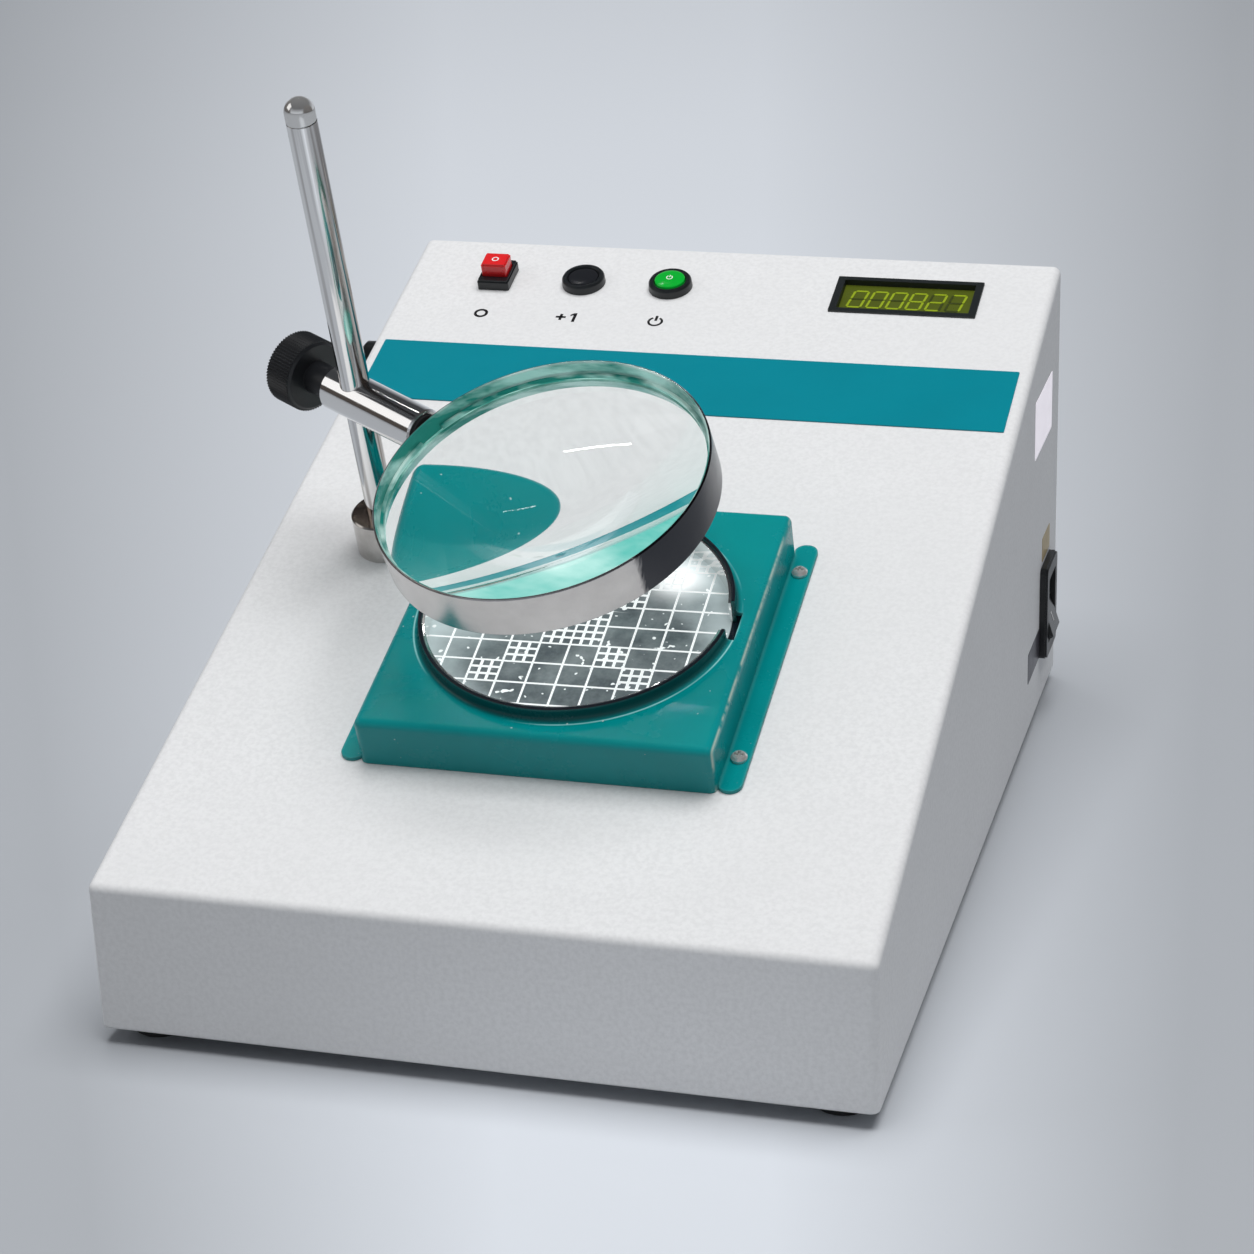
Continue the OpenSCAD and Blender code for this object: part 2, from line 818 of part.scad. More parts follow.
module clamp_arm() {
  chamfer = 0.6;
  color("silver") on_arm() difference() {
    translate([-arm_back, 0, 0]) rotate([0, 90, 0]) rotate_extrude()
      polygon([
        [0, 0], [arm_d / 2 - chamfer, 0], [arm_d / 2, chamfer],
        [arm_d / 2, arm_l - chamfer], [arm_d / 2 - chamfer, arm_l], [0, arm_l]
      ]);
    // Post
    cylinder(d = post_d + 2 * run_fit, h = 2 * arm_d, center = true);
    // Clamp screw
    translate([-arm_back - 1, 0, 0]) rotate([0, 90, 0])
      cylinder(d = clamp_screw_d + 2 * run_fit, h = arm_back + 1);
    // Lens stud
    translate([arm_front - stud_in - 0.5, 0, 0]) rotate([0, 90, 0])
      cylinder(d = stud_d + 2 * run_fit, h = stud_in + 2);
    // Washer
    translate([arm_front - recess_depth, 0, 0]) rotate([0, 90, 0])
      cylinder(r = washer_r + 0.15, h = recess_depth + 1);
  }
}

module friction_washer() {
  color("black") on_arm() translate([arm_front - recess_depth, 0, 0]) rotate([0, 90, 0])
    difference() {
      cylinder(r = washer_r, h = washer_t);
      translate([0, 0, -1]) cylinder(d = stud_d + 2 * run_fit, h = washer_t + 2);
    }
}

// Outline of the knurled knob, rib by rib
knob_outline = [
  for (i = [0 : 2 * knob_ribs - 1])
    let (r = knob_d / 2 - (i % 2) * rib_depth, a = i * 180 / knob_ribs)
      [r * cos(a), r * sin(a)]
];
hub_start = arm_back + face_gap;
screw_end = hub_start + hub_l + knob_l * 0.6;

module clamp_knob() {
  edge = 0.8;
  core_r = knob_d / 2 - rib_depth - 0.15;
  color("black") on_arm() rotate([0, -90, 0]) difference() {
    union() {
      translate([0, 0, hub_start]) cylinder(d = hub_d, h = hub_l + 1);
      translate([0, 0, hub_start + hub_l + edge]) linear_extrude(knob_l - 2 * edge)
        polygon(knob_outline);
      translate([0, 0, hub_start + hub_l]) rotate_extrude()
        polygon([
          [0, 0], [core_r - edge, 0], [core_r, edge],
          [core_r, knob_l - edge], [core_r - edge, knob_l], [0, knob_l]
        ]);
    }
    translate([0, 0, hub_start - 1]) cylinder(d = clamp_screw_d, h = screw_end - hub_start + 1);
    // Dish in the knob's outer face
    translate([0, 0, hub_start + hub_l + knob_l - 1]) cylinder(r = knob_d / 2 - 4, h = 2);
  }
}

module clamp_screw() {
  tip = post_d / 2 + run_fit + face_gap;
  color("silver") on_arm() rotate([0, -90, 0]) translate([0, 0, tip])
    cylinder(d = clamp_screw_d, h = screw_end - tip);
}

// ---------------------------------------------------------------- magnifier

ring_in_r = ring_r - ring_wall;
lens_r = ring_in_r - 0.2;

module lens_stud() {
  color("silver") on_arm() translate([arm_front - stud_in, 0, 0]) rotate([0, 90, 0])
    cylinder(d = stud_d, h = stud_in + ring_gap + ring_wall * 0.7);
}

module lens_ring() {
  edge = 0.4;
  color("silver") difference() {
    on_lens(lens_rise) rotate_extrude($fn = 128)
      polygon([
        [ring_in_r - ledge_w, -ring_h / 2 + edge], [ring_in_r - ledge_w + edge, -ring_h / 2],
        [ring_r - edge, -ring_h / 2], [ring_r, -ring_h / 2 + edge],
        [ring_r, ring_h / 2 - edge], [ring_r - edge, ring_h / 2],
        [ring_in_r + edge, ring_h / 2], [ring_in_r, ring_h / 2 - edge],
        [ring_in_r, -lens_edge / 2 - seat_gap], [ring_in_r - ledge_w, -lens_edge / 2 - seat_gap]
      ]);
    on_arm() rotate([lens_tilt, 0, 0]) translate([arm_front, 0, 0]) rotate([0, 90, 0])
      cylinder(d = stud_d + 0.04, h = ring_gap + ring_wall * 0.7 + 0.05);
  }
}

module lens_retainer() {
  w = 1.1;
  h = 1.2;
  color("dimgray") on_lens(lens_rise) rotate(185) rotate_extrude(angle = 350, $fn = 128)
    translate([ring_in_r - 0.05 - w, lens_edge / 2 + seat_gap]) square([w, h]);
}

module magnifier_lens() {
  steps = 14;
  half = asin(lens_r / lens_curve);
  crown = lens_edge / 2 - lens_curve * cos(half);
  face = [for (i = [0 : steps]) lens_curve * [sin(half * i / steps), cos(half * i / steps)]];
  color("lightcyan", 0.4) on_lens(lens_rise) rotate_extrude($fn = 128)
    polygon(concat(
      [for (p = face) [p[0], p[1] + crown]],
      [for (i = [0 : steps]) let (p = face[steps - i]) [p[0], -p[1] - crown]]
    ));
}

// ---------------------------------------------------------------- buttons

reset_body_w = reset_w - 1.2;
reset_body_l = reset_l - 1.6;
cap_foot = 5;
cap_foot_r = cap_d / 2;

// A chamfered frame on the panel with a switch body behind it
module reset_switch_body() {
  chamfer = 0.9;
  guide_w = reset_cap_w + 2 * slide_gap;
  guide_l = reset_cap_l + 2 * slide_gap;
  color([0.1, 0.1, 0.11]) on_row(reset_u) difference() {
    union() {
      plate(reset_w, reset_l, reset_h - chamfer, 0.8);
      translate([0, 0, reset_h - chamfer]) plate(reset_w - chamfer, reset_l - chamfer, chamfer, 0.6);
      translate([0, 0, -switch_depth])
        plate(reset_body_w, reset_body_l, switch_depth + eps, 0.4);
    }
    translate([0, 0, -cap_foot - press_travel - slide_gap])
      plate(guide_w, guide_l, 3 * switch_depth, 0.3);
  }
}

module reset_cap() {
  color("firebrick") on_row(reset_u) {
    translate([0, 0, -cap_foot]) plate(reset_cap_w, reset_cap_l, reset_cap_h + cap_foot - 0.6, 0.6);
    translate([0, 0, reset_cap_h - 0.6 - eps])
      plate(reset_cap_w - 0.8, reset_cap_l - 0.8, 0.6 + eps, 0.5);
  }
}

// Round bezel and threaded barrel of a push button
module round_switch() {
  edge = 0.7;
  guide_r = cap_d / 2 + slide_gap;
  floor_z = -cap_foot - press_travel - slide_gap;
  rotate_extrude()
    polygon([
      [0, -switch_depth], [barrel_d / 2, -switch_depth], [barrel_d / 2, 0],
      [bezel_d / 2, 0], [bezel_d / 2 - 0.2, bezel_h - edge],
      [bezel_d / 2 - edge, bezel_h], [guide_r + 0.4, bezel_h], [guide_r, bezel_h - 0.4],
      [guide_r, floor_z], [0, floor_z]
    ]);
}

// Domed round cap, its rim at height rim_h
module round_cap(rim_h, dome_h) {
  r = cap_d / 2;
  rotate_extrude()
    polygon(concat(
      [[0, -cap_foot], [r, -cap_foot]],
      [for (i = [0 : 6]) [r * cos(i * 15), rim_h - dome_h + dome_h * sin(i * 15)]]
    ));
}

module count_switch_body() {
  color([0.1, 0.1, 0.11]) on_row(count_u) round_switch();
}

module count_cap() {
  color([0.13, 0.14, 0.15]) on_row(count_u) round_cap(count_cap_h, 0.5);
}

module power_switch_body() {
  color([0.1, 0.1, 0.11]) on_row(power_u) round_switch();
}

module power_cap() {
  color("forestgreen") on_row(power_u) round_cap(power_cap_h, 0.7);
}

module switch_nuts() {
  nut_t = 2.4;
  color("silver") for (u = [count_u, power_u])
    on_row(u) translate([0, 0, -sheet_t - nut_t]) hex_nut(barrel_d + 4, nut_t, barrel_d + 0.1);
}

// ---------------------------------------------------------------- display

window_w = display_w - 2 * display_border;
window_l = display_l - 1.5 * display_border;
display_body_w = window_w + 2.4;
display_body_l = window_l + 2.4;
display_depth = 9;

module display_bezel() {
  color([0.09, 0.1, 0.1]) on_row(display_u) difference() {
    union() {
      plate(display_w, display_l, display_lip, 0.4);
      translate([0, 0, -display_depth])
        plate(display_body_w, display_body_l, display_depth + eps, 0.4);
    }
    translate([0, 0, -display_depth - 1])
      plate(window_w, window_l, display_depth + display_lip + 2, 0.2);
  }
}

module display_cell() {
  cell_t = 3;
  color("olivedrab") on_row(display_u) translate([0, 0, -display_recess - cell_t])
    plate(window_w - 0.2, window_l - 0.2, cell_t, 0.2);
}

// Board behind the cell, with a block that carries the cell
module display_board() {
  block_h = display_depth - display_recess - 3;
  color("darkgreen") on_row(display_u) {
    translate([0, 0, -display_depth]) plate(window_w - 2, window_l - 2, block_h, 0.2);
    translate([0, 0, -display_depth - board_t])
      plate(display_w, display_l + 4, board_t, 1);
  }
}

// ---------------------------------------------------------------- boards

counter_z = -sheet_t - pillar_h;

module counter_pillar_spots() {
  on_counter() at_corners(counter_w - 8, counter_l - 8) children();
}

module counter_board() {
  color("darkgreen") difference() {
    on_counter() translate([0, 0, counter_z - board_t]) plate(counter_w, counter_l, board_t, 1.5);
    counter_pillar_spots() translate([0, 0, counter_z - board_t - 1])
      cylinder(d = m3_hole_d, h = board_t + 2);
  }
}

// Two logic chips and the terminal strip under the counter board
module counter_parts() {
  top = counter_z - board_t;
  color([0.15, 0.15, 0.16]) on_counter() {
    for (x = [-counter_w / 4, counter_w / 24])
      translate([x, counter_l / 7, top - chip[2]]) plate(chip[0], chip[1], chip[2], 0.5);
    translate([0, -counter_l / 4, top - terminal[2]])
      plate(terminal[0], terminal[1], terminal[2], 0.5);
  }
}

module board_pillars() {
  color("silver") {
    counter_pillar_spots() translate([0, 0, counter_z]) cylinder(d = pillar_d, h = pillar_h);
    counter_pillar_spots() translate([0, 0, counter_z - board_t]) mirror([0, 0, 1])
      pan_screw(m3_d, m3_head_d, m3_head_h, board_t + 1);
  }
}

module supply_pillar_spots() {
  in_housing() translate([supply_x, supply_y, base_t])
    at_corners(supply_w - 8, supply_l - 8) children();
}

module supply_board() {
  color("darkgreen") difference() {
    in_housing() translate([supply_x, supply_y, base_t + supply_pillar_h])
      plate(supply_w, supply_l, board_t, 1.5);
    supply_pillar_spots() translate([0, 0, supply_pillar_h - 1])
      cylinder(d = m3_hole_d, h = board_t + 2);
  }
}

// Smoothing capacitors, rectifier and heat sink of the supply board
module supply_parts() {
  color([0.2, 0.2, 0.28]) in_housing()
    translate([supply_x, supply_y, base_t + supply_pillar_h + board_t]) {
      for (x = [-0.31, -0.13] * supply_w)
        translate([x, supply_l / 6, 0]) cylinder(d = capacitor_d, h = capacitor_h);
      translate([-supply_w / 4.5, -supply_l / 4.5, 0])
        plate(rectifier[0], rectifier[1], rectifier[2], 0.5);
      translate([supply_w / 5, 2, 0]) {
        for (i = [0 : fin_count - 1])
          translate([i * fin_pitch, 0, 0]) plate(fin[0], fin[1], fin[2], 0.1);
        translate([(fin_count - 1) * fin_pitch / 2, 0, 0])
          plate(fin_count * fin_pitch, fin[1], 2, 0.1);
      }
    }
}

module supply_pillars() {
  color("silver") {
    supply_pillar_spots() cylinder(d = pillar_d, h = supply_pillar_h);
    supply_pillar_spots() translate([0, 0, supply_pillar_h + board_t])
      pan_screw(m3_d, m3_head_d, m3_head_h, board_t + 1);
  }
}

// Laminated core with its mounting foot, round the coil
module transformer_core() {
  foot_t = 2;
  window = 10;
  color("slategray") in_housing() translate([core_x, core_y, base_t]) difference() {
    union() {
      plate(core_w + 20, 20, foot_t, 2);
      translate([0, 0, foot_t]) plate(core_w, 20, core_h, 1);
    }
    for (s = [-1, 1]) {
      translate([s * (core_w / 2 + 5), 0, -1]) cylinder(d = m4_hole_d, h = foot_t + 2);
      translate([s * (core_w / 4 - 1), 0, foot_t + 7]) translate([-window / 2, -15, 0])
        cube([window, 30, core_h - 14]);
    }
  }
}

module transformer_coil() {
  foot_t = 2;
  window = 10;
  gap = 0.2;
  limb = core_w / 4 - 1 - window / 2;
  color("peru") in_housing() translate([core_x, core_y, base_t + foot_t + 7 + gap]) difference() {
    plate(2 * (core_w / 4 - 1 + window / 2 - gap), core_l, core_h - 14 - 2 * gap, 1.5);
    translate([0, 0, -1]) plate(2 * (limb + gap), 20 + 2 * gap, core_h, 0.1);
  }
}

// ---------------------------------------------------------------- side switch

side_body_w = rocker_w + 2 * slide_gap + 2 * side_wall;
side_body_l = 2 * (rocker_r + slide_gap) + 2 * side_wall;

module side_switch_frame() {
  chamfer = 0.8;
  pocket_w = rocker_w + 2 * slide_gap;
  pocket_l = 2 * (rocker_r + slide_gap);
  color([0.08, 0.08, 0.09]) on_right_wall(side_y, side_z) difference() {
    union() {
      plate(side_w, side_l, side_t - chamfer, 2.4);
      translate([0, 0, side_t - chamfer]) plate(side_w - chamfer, side_l - chamfer, chamfer, 2.2);
      translate([0, 0, -side_body_depth]) plate(side_body_w, side_body_l, side_body_depth + eps, 0.6);
    }
    translate([0, 0, -rocker_sink - 8]) plate(pocket_w, pocket_l, side_body_depth, 1);
    translate([-side_body_w, 0, -rocker_sink]) rotate([0, 90, 0])
      cylinder(r = rocker_pin_r + run_fit, h = 2 * side_body_w);
  }
}

// Side outline of the rocker about its pivot: y up the wall, z outwards
module rocker_outline() {
  cy = rocker_r * cos(rocker_corner);
  cz = rocker_r * sin(rocker_corner);
  difference() {
    intersection() {
      circle(rocker_r);
      translate([-rocker_r, -3]) square([2 * rocker_r, 2 * rocker_r]);
    }
    polygon([[-cy, cz], [0, cz - cy * tan(rocker_lean)], [cy, cz], [cy, cy + cz], [-cy, cy + cz]]);
  }
}

module side_rocker() {
  pin_w = rocker_w + 2 * rocker_pin_l;
  color([0.07, 0.07, 0.08]) on_right_wall(side_y, side_z) translate([0, 0, -rocker_sink])
    rotate([-rocker_lean, 0, 0]) {
      translate([-rocker_w / 2, 0, 0]) rotate([90, 0, 90]) linear_extrude(rocker_w) rocker_outline();
      translate([-pin_w / 2, 0, 0]) rotate([0, 90, 0]) cylinder(r = rocker_pin_r, h = pin_w);
    }
}

// ---------------------------------------------------------------- inlet

module mains_inlet() {
  color([0.08, 0.08, 0.09]) on_back_wall(inlet_x, inlet_z) difference() {
    union() {
      plate(inlet_w, inlet_l, inlet_t, 4);
      translate([0, 0, -inlet_body_depth])
        plate(inlet_body_w, inlet_body_l, inlet_body_depth + eps, 1.5);
    }
    translate([0, 0, inlet_t - inlet_mouth_depth]) linear_extrude(inlet_mouth_depth + 1)
      polygon([
        [-inlet_mouth_w / 2, -inlet_mouth_l / 2], [inlet_mouth_w / 2, -inlet_mouth_l / 2],
        [inlet_mouth_w / 2, inlet_mouth_l / 2 - 5], [inlet_mouth_w / 2 - 5, inlet_mouth_l / 2],
        [-inlet_mouth_w / 2 + 5, inlet_mouth_l / 2], [-inlet_mouth_w / 2, inlet_mouth_l / 2 - 5]
      ]);
    for (s = [-1, 1]) translate([s * inlet_screw_pitch / 2, 0, -1])
      cylinder(d = m3_hole_d, h = inlet_t + 2);
    for (p = inlet_pin_spots) translate([p[0], p[1], -inlet_body_depth - 1])
      cube([p[2], p[3], 3 * inlet_body_depth], center = true);
  }
}

// x, y, width and height of the live, neutral and earth pins
inlet_pin_spots = [[-7, -3.5, 2, 4], [7, -3.5, 2, 4], [0, 1.5, 2, 4]];

module inlet_pins() {
  tail = 5;
  front = inlet_t - 4;
  color("silver") on_back_wall(inlet_x, inlet_z) for (p = inlet_pin_spots)
    translate([p[0] - p[2] / 2 + 0.05, p[1] - p[3] / 2 + 0.05, -inlet_body_depth - tail])
      cube([p[2] - 0.1, p[3] - 0.1, inlet_body_depth + tail + front]);
}

module inlet_screws() {
  color("silver") on_back_wall(inlet_x, inlet_z) for (s = [-1, 1])
    translate([s * inlet_screw_pitch / 2, 0, inlet_t])
      pan_screw(m3_d, m3_head_d, m3_head_h, inlet_t + sheet_t + 4);
}

// ---------------------------------------------------------------- pen socket

module pen_socket() {
  edge = 1;
  depth = 18;
  color([0.08, 0.08, 0.09]) on_left_wall(pen_y, pen_z) difference() {
    union() {
      rotate_extrude()
        polygon([
          [0, 0], [pen_d / 2, 0], [pen_d / 2, pen_out - edge],
          [pen_d / 2 - edge, pen_out], [0, pen_out]
        ]);
      translate([0, 0, -pen_stem_l]) cylinder(d = pen_stem_d, h = pen_stem_l + eps);
    }
    translate([0, 0, pen_out - depth]) cylinder(d = pen_hole_d, h = depth + 1);
  }
}

module pen_socket_nut() {
  color("silver") on_left_wall(pen_y, pen_z) translate([0, 0, -sheet_t - pen_nut_t])
    hex_nut(pen_stem_d + 4, pen_nut_t, pen_stem_d + 0.1);
}

housing();
base_plate();
base_screws();
feet();
foot_screws();
foot_nuts();
graphic_strip();
stage_cover();
stage_screws();
dish_ring();
grid_glass();
glass_seat();
light_pan();
dark_screen();
ring_lamp();
lamp_clips();
lamp_ballast();
post_collar();
collar_nut();
post_rod();
post_cap();
clamp_arm();
friction_washer();
clamp_knob();
clamp_screw();
lens_stud();
lens_ring();
lens_retainer();
magnifier_lens();
reset_switch_body();
reset_cap();
count_switch_body();
count_cap();
power_switch_body();
power_cap();
switch_nuts();
display_bezel();
display_cell();
display_board();
counter_board();
counter_parts();
board_pillars();
supply_board();
supply_parts();
supply_pillars();
transformer_core();
transformer_coil();
side_switch_frame();
side_rocker();
mains_inlet();
inlet_pins();
inlet_screws();
pen_socket();
pen_socket_nut();
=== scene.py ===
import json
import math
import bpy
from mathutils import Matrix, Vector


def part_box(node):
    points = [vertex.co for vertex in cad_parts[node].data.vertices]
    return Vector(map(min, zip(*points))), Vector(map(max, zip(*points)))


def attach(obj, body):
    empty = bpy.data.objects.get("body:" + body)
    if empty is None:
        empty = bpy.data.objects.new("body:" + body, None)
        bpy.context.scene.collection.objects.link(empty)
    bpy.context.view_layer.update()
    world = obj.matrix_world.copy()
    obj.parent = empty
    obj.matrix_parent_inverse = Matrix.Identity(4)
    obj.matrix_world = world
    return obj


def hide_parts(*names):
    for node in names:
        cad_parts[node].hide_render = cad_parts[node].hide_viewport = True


bl_info = {
    "name": "Colony counter",
    "version": (1, 0, 0),
    "blender": (4, 5, 0),
    "location": "3D View > Sidebar > Colony counter",
    "description": "Dresses the colony counter's frame with its finishes and small details",
    "category": "Object",
}

import bmesh
import bpy
from mathutils import Matrix, Vector

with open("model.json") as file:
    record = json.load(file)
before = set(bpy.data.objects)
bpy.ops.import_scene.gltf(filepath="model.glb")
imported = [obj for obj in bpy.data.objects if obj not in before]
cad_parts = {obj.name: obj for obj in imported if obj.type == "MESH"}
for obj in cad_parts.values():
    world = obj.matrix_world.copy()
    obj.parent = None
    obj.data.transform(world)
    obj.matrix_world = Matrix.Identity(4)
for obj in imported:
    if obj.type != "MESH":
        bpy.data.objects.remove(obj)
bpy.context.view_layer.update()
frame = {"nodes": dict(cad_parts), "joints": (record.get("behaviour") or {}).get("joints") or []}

MM = 0.001
JOINTS = {joint["name"]: joint for joint in frame["joints"]}


# ------------------------------------------------------------------ frames
# Shapes are drawn in millimetres. Nodes and lights work in metres. A place on
# the sloping panel is given as (u, v, n) in millimetres: right from the left
# wall, up the slope from the front crease, and out of the panel.

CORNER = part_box("housing")[0]
ACROSS, BACK, UP = Vector((1, 0, 0)), Vector((0, 1, 0)), Vector((0, 0, 1))
NORMAL = Vector(JOINTS["post_swivel"]["axis"]).normalized()
UPHILL = NORMAL.cross(ACROSS)
POST_FOOT = Vector(JOINTS["post_swivel"]["pos_m"])
POST_UV = (43.8, 175.6)
PANEL_ORIGIN = POST_FOOT - ACROSS * POST_UV[0] * MM - UPHILL * POST_UV[1] * MM

# The stage: its middle, its rim's top and foot, and the liner inside the rim.
STAGE_UV = (128.0, 125.5)
RIM_TOP, RIM_FOOT = 21.8, 17.4
RIM_INNER, RIM_OUTER = 50.6, 51.8
LINER_INNER = 49.6
NOTCH_HALF_ANGLE = 8.0
WORN_BEND_U = 186.3

# The gridded glass: the grid's middle and turn, the middle of the dark field round which the edge light is
# painted, and the painted glare.
GRID_UV, GRID_TURN = (127.5, 125.1), 1.07
GLASS_TOP = 13.4
DARK_UV = (134.0, 112.0)
GLARE_UV = (154.92, 151.85)

# The row of buttons, their captions and the display.
ROW_V = 339.5
RESET_U, BUTTON_PITCH = 36.9, 34.25
RESET_TOP, POWER_TOP = 9.2, 4.4
CAPTION_V, CAPTION_SCALE = 316.4, 1.75
DISPLAY_U, DISPLAY_N = 196.1, -1.55

# The magnifier: its angles off the panel, and where the painted dark reflection on its ring starts, in metres
# to the right of its middle.
LENS_TILT, LENS_RISE = 8.4, 2.6
RING_DARK_AT = 0.0455
GLASS_IOR = 1.5

EDGE_GAIN = 6.0
BLACK = (0.0, 0.0, 0.0)


def frame_matrix(origin, x_axis, y_axis, z_axis):
    """Matrix that places millimetre geometry at origin along three axes."""
    turn = Matrix((x_axis, y_axis, z_axis)).transposed().to_4x4()
    return Matrix.Translation(origin) @ turn @ Matrix.Scale(MM, 4)


def on_panel(u, v, n=0.0):
    """Frame on the sloping panel, z out of the panel."""
    origin = PANEL_ORIGIN + (ACROSS * u + UPHILL * v + NORMAL * n) * MM
    return frame_matrix(origin, ACROSS, UPHILL, NORMAL)


def on_right_wall(y, z, out):
    """Frame on the right wall: x towards the back, y up, z outwards."""
    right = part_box("housing")[1].x
    origin = Vector((right + out * MM, CORNER.y + y * MM, CORNER.z + z * MM))
    return frame_matrix(origin, BACK, UP, ACROSS)


def lens_frame():
    """Frame at the middle of the magnifier, z along the lens's axis."""
    low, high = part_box("lens_ring")
    arm = Vector(JOINTS["lens_tilt"]["axis"]).normalized()
    tilt = Matrix.Rotation(math.radians(LENS_TILT), 3, arm)
    rise = Matrix.Rotation(math.radians(-LENS_RISE), 3, NORMAL.cross(arm))
    turn = tilt @ rise
    axis = turn @ NORMAL
    out = turn @ arm
    return frame_matrix((low + high) / 2, out, axis.cross(out), axis)


# ------------------------------------------------------------------ settings

def colour_setting(name, description, default):
    return bpy.props.FloatVectorProperty(
        name=name, description=description, default=default,
        subtype="COLOR", size=3, min=0, max=1)


def number_setting(name, description, low, high, default, unit="NONE"):
    return bpy.props.FloatProperty(
        name=name, description=description, min=low, max=high, default=default, unit=unit)


class FinishSettings(bpy.types.PropertyGroup):
    """Colours of the counter's finishes."""

    housing: colour_setting("Housing", "Powder coat of the housing", (0.76, 0.762, 0.768))
    stage: colour_setting("Stage cover", "Enamel of the stage cover", (0.0, 0.236, 0.244))
    strip: colour_setting("Strip", "Printed film of the graphic strip", (0.0, 0.215, 0.275))
    digits: colour_setting("Digits", "Lit segments of the display", (0.25, 0.33, 0.012))
    reset: colour_setting("Reset cap", "Plastic of the reset button's cap", (0.72, 0.012, 0.015))
    power: colour_setting("Power cap", "Plastic of the power button's cap", (0.0, 0.30, 0.02))


class DetailSettings(bpy.types.PropertyGroup):
    """Sizes of the drawn details."""

    square: number_setting(
        "Grid square", "Side of a square of the counting grid, in millimetres", 5, 20, 10.0)
    line: number_setting(
        "Grid line", "Width of a line of the counting grid, in millimetres", 0.1, 1, 0.75)
    reading: bpy.props.IntProperty(
        name="Reading", description="Number that the display shows",
        min=0, max=999999, default=827)
    digit_height: number_setting("Digit height", "Height of a digit, in millimetres", 4, 14, 10.4)


class StudioSettings(bpy.types.PropertyGroup):
    """Lights and floor around the counter."""

    key_power: number_setting("Overhead light", "Power of the large overhead light", 0, 500, 207.0, "POWER")
    tube_power: number_setting("Tube light", "Power of the tube seen in the glass", 0, 500, 0.30, "POWER")
    card_power: number_setting("Left card", "Power of the white card at the left", 0, 500, 4.5, "POWER")
    sky: number_setting("Fill", "Strength of the even fill light", 0, 2, 0.22)
    # The ring lamp setting sets the painted glow of the counting glass.
    lamp: number_setting(
        "Ring lamp", "Brightness of the ring lamp round the counting field", 0, 5, 0.35)
    floor: colour_setting("Floor", "Colour of the floor", (0.64, 0.67, 0.715))


# ------------------------------------------------------------------ materials

